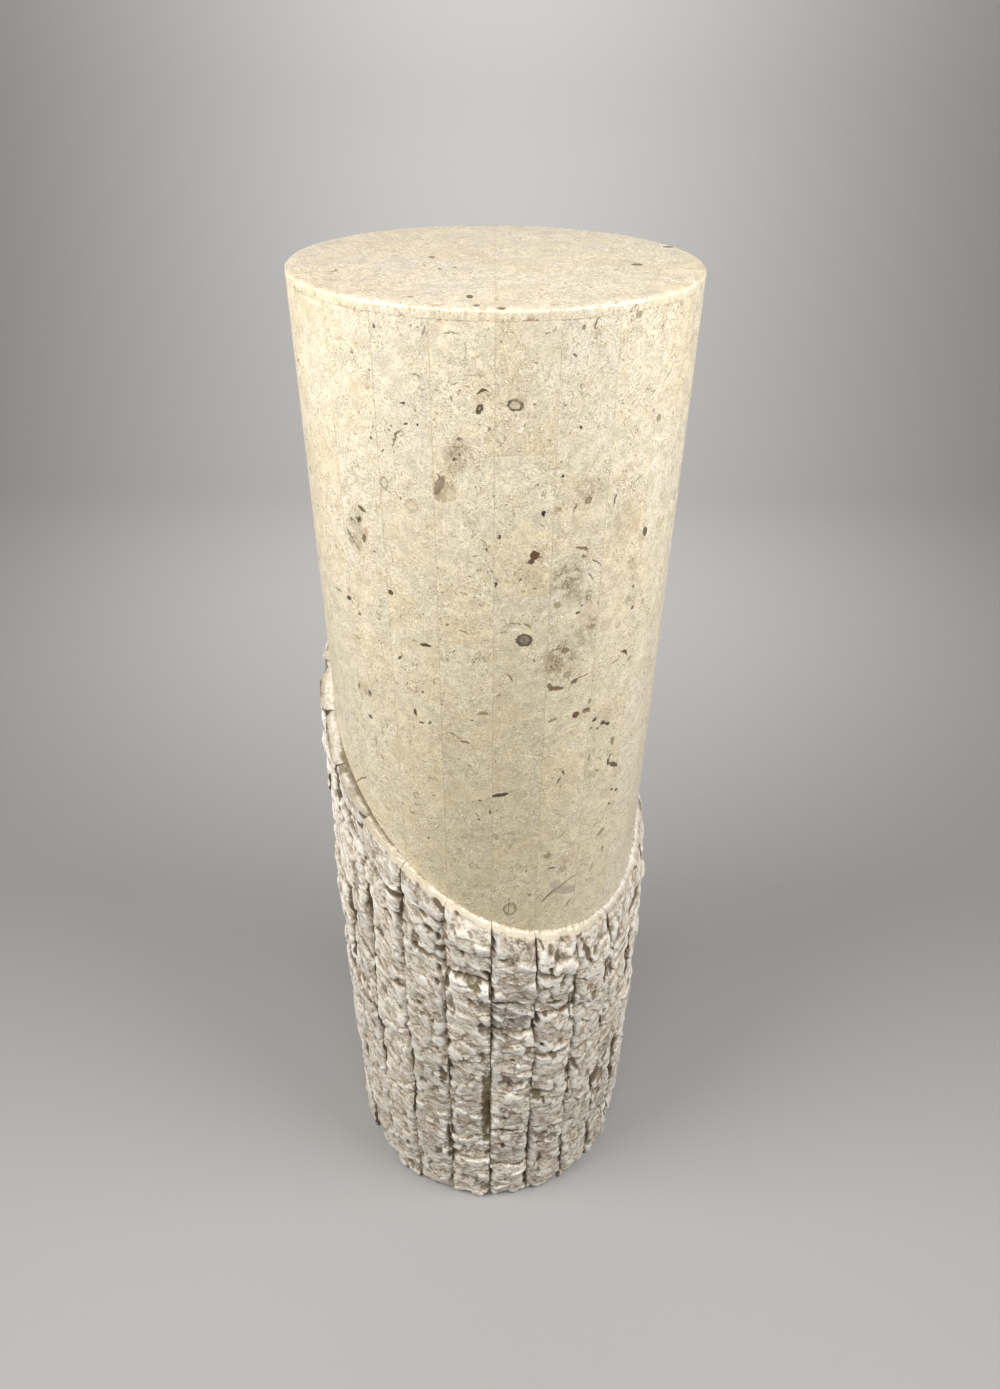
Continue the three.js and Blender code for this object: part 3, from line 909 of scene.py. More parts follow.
# Fossils on the flat top: x and y from its middle instead of angle and depth
TOP_FOSSILS = [
    ("oval", -14, -105, 3.6, 8, 5, "dark", 0.9),
    ("patch", -22, -102, 11, 12, 0, "tan", 0.5),
    ("oval", -41, 4, 4.6, 7, 0, "brown", 0.85),
    ("oval", 88, -13, 7.5, 7, 0, "dark", 0.8),
    ("patch", 96, -17, 9, 6, -20, "tan", 0.5),
    ("oval", 117, 48, 7, 6, 0, "dark", 0.8),
    ("oval", -25, -27, 2.6, 4.6, 0, "brown", 0.75),
    ("oval", -34, -33, 2.4, 5.5, 15, "brown", 0.75),
    ("oval", -44, -22, 2.4, 5, 10, "brown", 0.6),
    ("arc", -97, -41, 10, 2.6, 68, "brown", 0.7),
    ("oval", -94, -30, 6, 3, 0, "tan", 0.7),
    ("oval", -108, -54, 2.6, 5, -10, "tan", 0.7),
    ("oval", -105, -4, 6, 5, 0, "tan", 0.5),
    ("arc", -121, 4, 12, 3, 0, "tan", 0.6),
    ("oval", 16, -34, 8, 4, 20, "tan", 0.65),
    ("oval", 8, -16, 5, 3, 50, "tan", 0.7),
    ("oval", 42, -31, 9, 4, -15, "tan", 0.55),
    ("oval", 27, -73, 11, 4, -25, "tan", 0.65),
    ("oval", 52, -72, 6, 4, 0, "tan", 0.65),
    ("oval", -46, -107, 3.4, 3.4, 0, "brown", 0.75),
    ("patch", -60, 96, 26, 18, 0, "pink", 0.35),
    ("patch", 19, 119, 8, 12, 0, "tan", 0.4),
    ("oval", -10, -125, 3.4, 5, 0, "red", 0.8),
    ("oval", 3, -130, 5, 2.4, 0, "dark", 0.85),
    ("arc", -30, -124, 8, 2, 10, "brown", 0.5),
]


# Fossils a square millimetre on the pieces that the front doesn't show
FOSSIL_SHARE = 0.0011
RANDOM_INKS = ("dark", "brown", "olive", "grey", "red")

# Their kinds: the draw that each reaches up to, the kind, its length, and its width as a range
# or as a share of the length
RANDOM_MARKS = [
    (0.4, "oval", (1.3, 2.6), 0.85),
    (0.62, "oval", (3, 9), (0.9, 2)),
    (0.78, "arc", (4, 12), (0.8, 1.8)),
    (0.86, "ring", (4, 9), 0.75),
    (1.0, "patch", (6, 16), 0.7),
]


def random_fossils(random, across_low, across_high, down_low, down_high):
    """Fossils for a piece that the front doesn't show: across and down are in millimetres."""
    marks = []
    area = (across_high - across_low) * (down_high - down_low)
    for _ in range(int(area * FOSSIL_SHARE)):
        across = random.uniform(across_low, across_high)
        down = random.uniform(down_low, down_high)
        turn = random.uniform(-90, 90)
        ink = RANDOM_INKS[random.integers(len(RANDOM_INKS))]
        draw = random.random()
        strength = random.uniform(0.6, 0.95)
        kind, lengths, widths = next(row[1:] for row in RANDOM_MARKS if draw < row[0])
        length = random.uniform(*lengths)
        if isinstance(widths, tuple):
            width = random.uniform(*widths)
        else:
            width = length * widths
        if kind == "patch":
            ink = "tan"
            strength = 0.45
        marks.append((kind, across, down, length, width, turn, ink, strength))
    return marks


def random_tone(random):
    """A piece's own slight tint."""
    light = random.uniform(0.95, 1.03)
    warm = random.uniform(-0.016, 0.016)
    return (light + warm * 0.5, light, light - warm * 1.4)


def stand_in(piece, node, material):
    """Gives a piece its material and its place in the frame."""
    piece.data.materials.append(material)
    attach(piece, "root")
    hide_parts(node)


# Polished strips

STRIP_WIDTH = PITCH * ARC_PER_DEGREE
# Rows at each end of a length, and places near its sides: the edge, the bevel's end and the
# joint line's. The rows have one more, where the rim's dirt ends.
NEAR_SIDE = [0, TILE_BEVEL / STRIP_WIDTH, JOINT_LINE / STRIP_WIDTH]
INSETS = [0, TILE_BEVEL, JOINT_LINE, RIM_REACH]
TILE_PARTS = 10
TILE_SHARP = 28
# The front shows the strips whose middle is nearer to it than this angle
SEEN_ANGLE = 62


def tile_columns():
    """Places across a strip: close together at its two sides, even between them."""
    middle = np.linspace(0, 1, TILE_PARTS + 1)[1:-1]
    return np.array(NEAR_SIDE + list(middle) + [1 - n for n in reversed(NEAR_SIDE)])


def tile_face(strip, across, foot, head, slanted):
    """The polished face of one length in rows from its foot up, and how far each point is from
    the nearest joint. A slanted length stops at the oblique cut instead of at foot."""
    middle_angle = PITCH * (strip + 0.5)
    extra = OPEN_JOINT * bell(middle_angle, OPEN_JOINT_ANGLE, OPEN_JOINT_SPREAD)
    from_side = np.minimum(across, 1 - across) * STRIP_WIDTH
    at_side = np.zeros(len(across))
    at_side[0] = at_side[-1] = TILE_BEVEL
    rows = []
    distances = []
    levels = [(False, inset) for inset in INSETS] + [(True, inset) for inset in INSETS[::-1]]
    for at_head, inset in levels:
        drop = at_side if inset else TILE_BEVEL
        x, y = sector_point(strip, across, RADIUS - drop, STRIP_JOINT)
        if at_head:
            z = np.full(len(x), head - inset)
        elif slanted:
            z = slant_at(x, y) + STRIP_JOINT + extra + inset
        else:
            z = np.full(len(x), foot + inset)
        rows.append(np.stack([x, y, z], axis=1))
        distances.append(np.minimum(from_side, inset))
    return np.array(rows), np.array(distances)


def tile_back(strip, across, outer, slanted):
    """The same grid as the face's on the core's radius."""
    x, y = sector_point(strip, across, CORE_RADIUS, STRIP_JOINT)
    inner = outer.copy()
    inner[:, :, 0] = x
    inner[:, :, 1] = y
    if slanted:
        rise = slant_at(x, y) - slant_at(outer[0, :, 0], outer[0, :, 1])
        inner[: len(INSETS), :, 2] += rise
    return inner


def tile_quads(row_count, column_count):
    """Quads of the face, of the back and of the rim between them."""
    count = row_count * column_count
    r, c = np.meshgrid(np.arange(row_count - 1), np.arange(column_count - 1), indexing="ij")
    a = (r * column_count + c).ravel()
    face = np.stack([a, a + 1, a + 1 + column_count, a + column_count], axis=1)
    border = np.concatenate([
        np.arange(column_count),
        np.arange(1, row_count) * column_count + column_count - 1,
        (row_count - 1) * column_count + np.arange(column_count - 2, -1, -1),
        np.arange(row_count - 2, 0, -1) * column_count,
    ])
    after = np.roll(border, -1)
    rim = np.stack([border, border + count, after + count, after], axis=1)
    return np.concatenate([face, face[:, ::-1] + count, rim])


def placed_marks(flat):
    """The listed fossils and speckled areas that reach a piece of the flattened face."""
    low, high = flat[:, :2].min(axis=0), flat[:, :2].max(axis=0)
    marks = []
    for kind, angle, down, *rest in FOSSILS:
        arc = angle * ARC_PER_DEGREE
        if low[0] - 1 < arc < high[0] + 1 and low[1] < down < high[1]:
            marks.append((kind, arc, down, *rest))
    clouds = []
    for angle, down, length, width, *rest in SPECKLED:
        arc = angle * ARC_PER_DEGREE
        near_arc = low[0] - length / 2 < arc < high[0] + length / 2
        if near_arc and low[1] - width / 2 < down < high[1] + width / 2:
            clouds.append((arc, down, length, width, *rest))
    return marks, clouds


def polished_tile(node):
    """One length of a polished strip."""
    strip = int(node.split("_")[2]) - 1
    low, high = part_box(node)
    slanted = node.endswith("_lower") or node.count("_") == 2
    head = high.z / MM
    if abs(SLAB_FOOT - head) > 1:
        head += BUTT_FILL
    foot = low.z / MM - BUTT_FILL
    across = tile_columns()
    outer, from_joint = tile_face(strip, across, foot, head, slanted)
    inner = tile_back(strip, across, outer, slanted)
    points = np.concatenate([outer.reshape(-1, 3), inner.reshape(-1, 3)])
    row_count, column_count = from_joint.shape

    angle = PITCH * (strip + across)
    if angle[0] > 180 - PITCH:
        angle = angle - 360
    down = HEIGHT - outer[:, :, 2].ravel()
    flat = np.stack([np.tile(angle * ARC_PER_DEGREE, row_count), down, down * 0], axis=1)
    side = np.minimum(from_joint / JOINT_LINE, 1).ravel()
    rim = 1 - np.clip((down - (HEIGHT - SLAB_FOOT)) / RIM_REACH, 0, 1)
    fields = {
        "place": np.concatenate([flat, flat + (0, 0, RADIUS - CORE_RADIUS)]),
        "side": np.tile(side, 2),
        "rim": np.tile(rim, 2),
    }
    quads = tile_quads(row_count, column_count)
    piece = solid(node + "_stone", points, quads, NO_TRIANGLES, fields, TILE_SHARP)

    random = np.random.default_rng(SEED + TILES.index(node))
    marks, clouds = placed_marks(flat)
    shift = tuple(random.uniform(0, PATTERN_REACH, 3))
    tone = random_tone(random)
    if abs(angle.mean()) > SEEN_ANGLE:
        arc_ends = (flat[:, 0].min(), flat[:, 0].max())
        marks += random_fossils(random, *arc_ends, down.min(), down.max())
    finish = polished_stone(node + "_finish", shift, tone, marks, clouds)
    stand_in(piece, node, finish)


# The flat top

SLAB_ROUNDING = 2.5
SLAB_RIM_STEPS = 6
SLAB_SEGMENTS = 96
SLAB_SHARP = 40
# The slabs reach down past the solids' joint, which filler closes
SLAB_OVER_JOINT = 0.22
TOP_RINGS = (30, 70, 105, 122)
FOOT_RINGS = (90, 40)
# The top face is darker than the rim with painted shade, and the two slabs differ a little
SLAB_TONE = (1.0, 0.99, 0.98)
TOP_SHADE_TONES = {-1: (0.655, 0.625, 0.62), 1: (0.655, 0.645, 0.635)}


def slab_rings(foot):
    """Radius and height of the slab's rings, from the middle of its top round to its foot."""
    rings = [(r, HEIGHT) for r in TOP_RINGS]
    for step in range(SLAB_RIM_STEPS + 1):
        lean = math.pi / 2 * step / SLAB_RIM_STEPS
        inward = SLAB_ROUNDING * (1 - math.sin(lean))
        drop = SLAB_ROUNDING * (1 - math.cos(lean))
        rings.append((RADIUS - inward, HEIGHT - drop))
    rings += [(RADIUS, foot + TILE_BEVEL), (RADIUS - TILE_BEVEL, foot)]
    return rings + [(r, foot) for r in FOOT_RINGS]


def slab_faces(ring_count, last):
    """Quads between half rings, and triangles of the top's and the foot's middle and of the
    flat side along the seam, whose own middle point comes after the last one."""
    count = SLAB_SEGMENTS + 1
    ring, i = np.meshgrid(np.arange(ring_count - 1), np.arange(SLAB_SEGMENTS), indexing="ij")
    a = (1 + ring * count + i).ravel()
    quads = np.stack([a, a + count, a + count + 1, a + 1], axis=1)
    i = np.arange(SLAB_SEGMENTS)
    lowest = 1 + (ring_count - 1) * count
    top_fan = np.stack([np.zeros_like(i), 1 + i, 2 + i], axis=1)
    foot_fan = np.stack([np.full_like(i, last), lowest + i + 1, lowest + i], axis=1)
    starts = 1 + np.arange(ring_count) * count
    ends = starts + SLAB_SEGMENTS
    outline = np.concatenate([[0], starts, [last], ends[::-1]])
    centre = np.full_like(outline, last + 1)
    seam_fan = np.stack([centre, np.roll(outline, -1), outline], axis=1)
    return quads, np.concatenate([top_fan, foot_fan, seam_fan])


def top_slab(node, side):
    """One half of the flat top: side is -1 for the left half and 1 for the right half."""
    foot = SLAB_FOOT - SLAB_OVER_JOINT
    rings = slab_rings(foot)
    points = [(0, 0, HEIGHT)]
    for ring_radius, z in rings:
        for angle in np.linspace(0, math.pi, SLAB_SEGMENTS + 1):
            points.append((ring_radius * math.sin(angle), -ring_radius * math.cos(angle), z))
    points.append((0, 0, foot))
    points = np.array(points)
    points[:, 0] = points[:, 0] * (1 - STRIP_JOINT / (2 * RADIUS)) + STRIP_JOINT / 2
    if side < 0:
        points[:, :2] *= -1
    last = len(points) - 1
    quads, triangles = slab_faces(len(rings), last)
    points = np.vstack([points, points[[0, last]].mean(axis=0)])

    # place's third part is the depth below the top face
    place = points.copy()
    place[:, 2] = HEIGHT - points[:, 2]
    fields = {
        "place": place,
        "side": np.minimum(np.abs(points[:, 0]) / JOINT_LINE, 1),
        "rim": 1 - np.clip((points[:, 2] - foot) / RIM_REACH, 0, 1),
    }
    piece = solid(node + "_stone", points, quads, triangles, fields, SLAB_SHARP)
    random = np.random.default_rng(SEED + 500 + side)
    marks = [m for m in TOP_FOSSILS if m[1] * side > 0]
    shift = tuple(random.uniform(0, PATTERN_REACH, 3))
    finish = polished_stone(node + "_finish", shift, SLAB_TONE, marks, [], TOP_SHADE_TONES[side])
    stand_in(piece, node, finish)


# Split staves

# What the front of the split part shows. Each row holds the kind, the angle round the column,
# the height above the floor, the width, the height of the spot, its turn, its ink and its
# strength. Pits, cracks and gaps go into the stone, and stains only colour it.
SPOTS = [
    ("pit", -34.0, 457, 19.6, 7.3, 0, "brown", 0.9),
    ("pit", -31.0, 467, 5.1, 7.1, 0, "brown", 0.9),
    ("pit", -37.4, 418, 8.5, 7.9, 0, "brown", 0.9),
    ("pit", -31.9, 432, 6.4, 10.1, 0, "brown", 0.9),
    ("stain", -34.3, 408, 11.4, 9.3, 0, "brown", 0.7),
    ("crack", -42.4, 373, 15.7, 4.3, 0, "dark", 0.8),
    ("pit", -37.3, 436, 3.6, 7.7, 0, "brown", 0.8),
    ("stain", -33.8, 394, 6.8, 10.8, 0, "brown", 0.6),
    ("pit", -45.5, 459, 10.2, 9.0, 0, "olive", 0.8),
    ("crack", -28.8, 480, 2.4, 23.2, 0, "dark", 1.0),
    ("pit", -17.3, 456, 11.1, 7.1, -15, "dark", 1.0),
    ("crack", -14.4, 448, 2.5, 23.7, 0, "dark", 1.0),
    ("crack", -19.9, 438, 31.1, 3.2, 10, "dark", 0.9),
    ("pit", -23.2, 434, 7.4, 6.1, 0, "brown", 0.9),
    ("pit", -21.2, 422, 7.3, 8.7, 0, "dark", 0.95),
    ("pit", -18.1, 418, 3.1, 8.7, 0, "dark", 0.95),
    ("stain", -21.7, 459, 9.8, 15.3, 0, "olive", 0.7),
    ("pit", -16.6, 403, 11.5, 8.9, 0, "olive", 0.95),
    ("pit", -23.6, 389, 12.5, 6.6, 0, "olive", 0.9),
    ("pit", -17.9, 381, 3.6, 11.9, 0, "brown", 0.8),
    ("pit", -18.5, 362, 3.7, 9.5, 0, "brown", 0.8),
    ("pit", -14.7, 388, 4.4, 7.8, 0, "brown", 0.7),
    ("crack", -2.6, 435, 16.8, 3.6, -8, "dark", 1.0),
    ("pit", -9.6, 394, 3.4, 5.1, 0, "brown", 0.8),
    ("crack", -14.7, 355, 3.6, 17.8, 0, "dark", 1.0),
    ("crack", -8.7, 366, 23.2, 4.0, 5, "dark", 0.9),
    ("pit", -5.7, 362, 11.1, 6.7, -20, "olive", 0.9),
    ("pit", -1.3, 378, 6.7, 7.9, 0, "dark", 0.9),
    ("crack", -0.3, 366, 2.1, 20.0, 0, "dark", 1.0),
    ("pit", -17.9, 222, 8.1, 28.2, 0, "brown", 0.9),
    ("stain", -19.7, 172, 15.0, 17.8, 0, "brown", 0.8),
    ("gap", -1.5, 171, 9.0, 115.7, 0, "olive", 1.0),
    ("pit", -13.1, 235, 6.8, 4.9, 0, "brown", 0.7),
    ("crack", -16.5, 115, 2.7, 49.5, 0, "dark", 0.9),
    ("pit", -16.5, 77, 5.5, 12.0, 0, "dark", 0.9),
    ("crack", 4.4, 415, 13.1, 4.3, -5, "brown", 0.9),
    ("pit", 9.3, 412, 3.3, 15.0, 0, "brown", 0.9),
    ("stain", 6.7, 417, 23.0, 9.9, 0, "brown", 0.6),
    ("stain", 7.8, 398, 11.7, 6.4, 0, "olive", 0.7),
    ("pit", 4.2, 385, 7.5, 3.9, 0, "dark", 0.8),
    ("crack", 3.1, 330, 20.0, 3.4, 0, "dark", 0.9),
    ("crack", 4.0, 289, 18.8, 5.1, 0, "dark", 0.6),
    ("stain", 3.2, 313, 21.1, 34.7, 0, "grey", 0.6),
    ("stain", 8.5, 308, 19.8, 29.2, 0, "grey", 0.5),
    ("stain", 4.1, 268, 10.9, 17.0, 0, "grey", 0.6),
    ("pit", 7.8, 251, 4.7, 4.7, 0, "brown", 0.7),
    ("crack", 15.4, 300, 3.8, 22.3, 8, "dark", 0.9),
    ("crack", 5.9, 129, 26.1, 7.4, 0, "brown", 0.8),
    ("stain", 4.0, 101, 22.4, 21.1, 0, "red", 0.6),
    ("pit", 5.2, 101, 4.1, 11.5, 0, "brown", 0.9),
    ("crack", 15.6, 412, 2.3, 16.4, 0, "dark", 1.0),
    ("crack", 15.7, 381, 1.8, 37.0, 0, "dark", 0.9),
    ("crack", 19.2, 405, 10.9, 3.8, 12, "dark", 0.9),
    ("pit", 22.4, 403, 7.5, 6.5, 0, "dark", 0.95),
    ("pit", 24.8, 396, 5.9, 6.6, 0, "olive", 0.9),
    ("pit", 17.3, 392, 3.1, 10.4, 20, "brown", 0.9),
    ("pit", 20.6, 388, 4.7, 9.2, 0, "brown", 0.8),
    ("pit", 22.9, 380, 5.8, 8.1, 0, "dark", 0.9),
    ("pit", 20.5, 370, 2.3, 6.8, 0, "dark", 0.9),
    ("pit", 26.1, 348, 7.2, 21.3, 0, "olive", 1.0),
    ("pit", 22.6, 361, 16.6, 5.5, 0, "olive", 0.8),
    ("stain", 19.6, 359, 11.3, 8.3, 0, "olive", 0.6),
    ("crack", 22.7, 316, 12.1, 4.4, 0, "dark", 0.95),
    ("pit", 19.8, 302, 4.9, 4.5, 0, "dark", 1.0),
    ("pit", 16.5, 299, 4.8, 20.9, 0, "brown", 0.9),
    ("stain", 18.5, 289, 16.7, 15.2, 0, "brown", 0.7),
    ("stain", 21.7, 284, 4.1, 26.2, 0, "brown", 0.7),
    ("pit", 24.0, 246, 8.6, 11.4, 0, "brown", 0.95),
    ("pit", 18.9, 263, 3.4, 5.4, 0, "dark", 0.9),
    ("pit", 16.3, 256, 2.9, 4.8, 0, "dark", 0.8),
    ("pit", 18.1, 182, 11.5, 19.4, 0, "olive", 1.0),
    ("pit", 20.8, 170, 3.3, 10.8, 0, "brown", 0.8),
    ("crack", 15.6, 109, 3.2, 53.9, 0, "dark", 0.9),
    ("pit", 15.7, 82, 4.4, 15.9, 0, "dark", 0.9),
    ("stain", 21.6, 65, 30.5, 41.1, 0, "red", 0.5),
    ("pit", 31.7, 403, 4.4, 12.0, 0, "dark", 0.95),
    ("pit", 34.8, 396, 7.0, 12.2, 0, "brown", 0.95),
    ("crack", 35.3, 368, 4.8, 24.2, 20, "brown", 0.9),
    ("pit", 32.6, 386, 6.7, 5.5, 0, "brown", 0.8),
    ("pit", 38.6, 367, 5.2, 5.8, 0, "brown", 0.8),
    ("pit", 39.3, 308, 5.5, 11.1, 0, "brown", 0.8),
    ("pit", 35.2, 301, 8.8, 4.7, 0, "brown", 0.8),
    ("crack", 29.7, 308, 2.3, 36.5, 0, "dark", 0.7),
    ("pit", 30.5, 209, 4.9, 19.3, 10, "brown", 0.9),
    ("pit", 33.8, 209, 5.2, 23.1, 20, "brown", 0.8),
    ("stain", 36.5, 184, 12.6, 22.3, 0, "brown", 0.6),
    ("pit", 33.4, 168, 10.6, 5.6, 0, "dark", 0.95),
    ("pit", 32.1, 164, 3.9, 13.1, 0, "dark", 0.9),
    ("stain", 35.2, 141, 12.6, 42.9, 0, "olive", 0.6),
    ("pit", 45.5, 338, 8.0, 20.4, 0, "brown", 0.9),
    ("crack", 44.6, 325, 3.9, 25.4, 0, "dark", 0.8),
    ("pit", 49.4, 318, 5.6, 10.0, 0, "brown", 0.8),
    ("pit", 47.8, 349, 8.6, 6.3, 0, "olive", 0.9),
    ("pit", 48.0, 235, 7.5, 7.4, 0, "brown", 0.8),
    ("stain", 52.4, 191, 25.0, 53.2, 0, "brown", 0.8),
    ("pit", 54.2, 174, 14.9, 19.2, 0, "brown", 0.95),
    ("pit", 48.1, 152, 15.8, 26.9, 0, "brown", 0.9),
    ("stain", 52.9, 128, 31.3, 49.2, 0, "red", 0.8),
    ("pit", 50.4, 118, 15.4, 11.1, 0, "dark", 0.9),
    ("stain", 48.9, 104, 18.9, 13.3, 0, "brown", 0.8),
    ("pit", 61.2, 422, 18.5, 21.2, 10, "brown", 1.0),
    ("pit", 54.6, 415, 12.9, 6.0, 0, "brown", 0.9),
    ("pit", 66.6, 431, 19.3, 14.8, 0, "brown", 0.8),
    ("pit", 69.2, 367, 29.4, 21.1, 0, "brown", 0.9),
    ("pit", 45.6, 403, 6.1, 7.1, 0, "dark", 0.9),
    ("stain", -62.9, 576, 18.5, 7.5, 0, "brown", 0.8),
    ("pit", -57.0, 586, 6.3, 6.7, 0, "brown", 0.8),
    ("stain", -56.7, 573, 18.9, 17.2, 0, "olive", 0.7),
    ("pit", -53.7, 569, 9.1, 5.6, 0, "dark", 1.0),
    ("pit", -54.4, 543, 9.6, 7.1, 0, "dark", 0.95),
    ("stain", -57.9, 535, 23.1, 16.2, 0, "olive", 0.6),
    ("pit", -46.9, 524, 13.1, 9.3, 0, "dark", 0.95),
    ("pit", -43.5, 531, 6.5, 5.6, 0, "brown", 0.9),
    ("crack", -48.3, 507, 20.1, 3.6, 18, "dark", 0.9),
]
SPOT_DEPTH = {"pit": 2.1, "crack": 2.1, "gap": 2.2, "stain": 0.0}
SPOT_DIRT = {"dark": 1.25, "brown": 1.0, "olive": 0.95, "grey": 0.1, "red": 0.45}

# The front staves' lumps: the heights at which the stone broke across, from the foot up, and
# how far each lump between two breaks stands out
LUMPS = {
    20: ([70, 150, 240, 330, 428, 470], [0.5, 2.5, 0.5, 2.0, -1.0, 1.0, 0.5]),
    21: ([64, 150, 236, 330, 389, 438], [-1.0, 1.5, -0.5, 2.0, 1.0, -1.5, 0.5]),
    22: ([76, 112, 228, 264, 364, 432], [0.5, -0.5, -1.2, 1.5, 3.4, -0.5, 1.0]),
    0: ([60, 129, 200, 289, 330, 412], [0.5, -0.5, 1.5, 1.7, -0.5, 0.5, -0.5]),
    1: ([109, 182, 246, 302, 350, 404], [-0.5, 0.5, 2.0, 0.0, -1.8, 2.4, 0.0]),
    2: ([80, 168, 230, 300, 368], [1.0, -0.5, 2.0, 0.5, 2.5, 0.0]),
    3: ([60, 118, 180, 270, 338], [1.5, 0.0, -1.5, 2.0, 0.5, 1.5]),
}

# How light the front staves' lumps are, from the foot up
LUMP_TONES = {
    20: [0.45, 0.6, 0.7, 0.7, 0.75, 0.6, 0.4],
    21: [0.45, 0.35, 0.45, 0.6, 0.7, 0.55, 0.2],
    22: [0.7, 0.5, 0.5, 0.75, 0.85, 0.65, 0.5],
    0: [0.6, 0.35, 0.7, 0.75, 0.0, 0.45, 0.3],
    1: [0.45, 0.55, 0.6, 0.6, 0.35, 0.8, 0.3],
    2: [0.45, 0.4, 0.6, 0.5, 0.65, 0.35],
    3: [0.3, 0.2, 0.2, 0.55, 0.7, 0.45],
}

# How strongly fine ridges run across a stave's face
RIDGED = {20: 0.15, 21: 0.2, 22: 0.65, 0: 0.3, 1: 0.1, 2: 0.15, 3: 0.1}
RIDGED_ELSEWHERE = (0, 0.4)
RIDGE_HEIGHT = 1.3
RIDGE_PITCH = 2.9

# Random lumps: their heights, how far they stand out and lean up and across, and how deep the
# breaks between them are
LUMP_HEIGHTS = (24, 84)
LUMP_STANDS = (-3.0, 3.2)
LUMP_LEAN_UP = (-2.6, 2.6)
LUMP_LEAN_ACROSS = (-2.0, 2.0)
LUMP_LIGHTNESS = (0.25, 0.85)
BREAK_DEPTHS = (0.0, 1.7)
HIGHEST_BREAK = 640

# Flakes: their width and height, how steep they lie, how far they stand out, where their edges
# start to lift, the depth and width of the groove round them, and a seed
FLAKES = [
    (17, 14, 2.1, 1.3, -0.08, 0.55, 0.07, 11),
    (6.5, 5.6, 2.2, 0.24, -0.05, 0.12, 0.08, 17),
]

# Broad hollows
BOWL_DEPTH = 1.8
BOWL_DIRT = 0.66

# Random spots, which stay out of the angles that the front shows, and how dirty a stain is
# beside a pit
SPOTS_PER_MM = 0.02
SPOT_KINDS = ("pit", "pit", "crack", "stain")
SPOT_INKS = ("brown", "dark", "olive", "red", "grey")
SPOTS_SEEN = (-50, 62)
STAIN_SHARE = 0.62
DEGREE_ARC = math.radians(1) * STAVE_RADIUS


def lumps(strip, u, v, width, random):
    """The lumps that a stave splits into: one above the other, each at its own depth. Gives
    how far they stand out and how light they are."""
    breaks = [0.0]
    while breaks[-1] < HIGHEST_BREAK:
        breaks.append(breaks[-1] + random.uniform(*LUMP_HEIGHTS))
    stands = random.uniform(*LUMP_STANDS, len(breaks))
    if strip in LUMPS:
        own, own_stands = LUMPS[strip]
        above = [b for b in breaks if b > own[-1] + LUMP_HEIGHTS[0]]
        stands[: len(own_stands)] = own_stands
        breaks = [0.0] + own + above
    # The first and the last lump go on past the stave's ends
    breaks = np.array([-30.0] + breaks[1:] + [900.0])
    count = len(breaks) - 1
    stands = np.resize(stands, count)
    lean_up = random.uniform(*LUMP_LEAN_UP, count)
    lean_across = random.uniform(*LUMP_LEAN_ACROSS, count)
    crack = random.uniform(*BREAK_DEPTHS, count + 1)
    key = SEED + 31 * strip
    sway = 2.6 * noise(u / 15, v / 19, key) + 1.1 * noise(u / 4.5, v / 6, key + 1)
    moved = v + sway + random.uniform(-0.2, 0.2) * (u - width / 2)
    block = np.clip(np.searchsorted(breaks, moved) - 1, 0, count - 1)
    part = np.clip((moved - breaks[block]) / (breaks[block + 1] - breaks[block]), 0, 1)
    height = stands[block] + lean_up[block] * (part - 0.5)
    height = height + lean_across[block] * (u / width - 0.5)
    to_break = np.minimum(moved - breaks[block], breaks[block + 1] - moved)
    nearer = np.where(part < 0.5, crack[block], crack[block + 1])
    strength = np.clip(0.45 + 0.9 * noise(u / 11, v / 30, key + 2), 0, 1)
    rounded = 1.5 * np.exp(-((to_break / 7.0) ** 2))
    cracked = nearer * np.exp(-((to_break / 1.3) ** 2))
    lightness = random.uniform(*LUMP_LIGHTNESS, count)
    if strip in LUMP_TONES:
        own_tones = LUMP_TONES[strip][:count]
        lightness[: len(own_tones)] = own_tones
    return height - strength * (rounded + cracked), blurred(lightness[block], 2)


def flaked(relief, u, v, key, random):
    """The relief with flakes on it, wide and flat because the stone splits across its length,
    and with slow swells."""
    warp_x = 1.8 * fractal(u / 7, v / 7, key + 1, 3)
    warp_y = 1.5 * fractal(u / 7, v / 7, key + 7, 3)
    turn = 0.5 * (random.random() - 0.5)
    along = (u + warp_x) + turn * (v + warp_y)
    up = (v + warp_y) - turn * (u + warp_x)
    for wide, tall, slope, stand, lift, groove, groove_width, seed in FLAKES:
        flat, edge = flakes(along / wide, up / tall, key + seed, slope)
        relief = relief + stand * flat * smooth(edge, lift, 0.35)
        relief = relief - groove * np.exp(-((edge / groove_width) ** 2))
    return relief + 1.3 * noise(u / 19, v / 26, key + 23)


def ridged(relief, strip, u, v, key, random):
    """The relief with fine ridges across the stave, in patches, and with an even roughness."""
    ridge = (v + 1.6 * fractal(u / 8, v / 7, key + 29, 3)) / RIDGE_PITCH
    ridge = np.abs(ridge % 1 - 0.5)
    patches = smooth(noise(u / 24, v / 30, key + 31), -0.5, 0.5)
    elsewhere = random.uniform(*RIDGED_ELSEWHERE)
    strength = RIDGE_HEIGHT * RIDGED.get(strip, elsewhere)
    relief = relief + strength * patches * (ridge - 0.25)
    return relief + 0.42 * fractal(u / 6.0, v / 4.2, key + 37, 3)


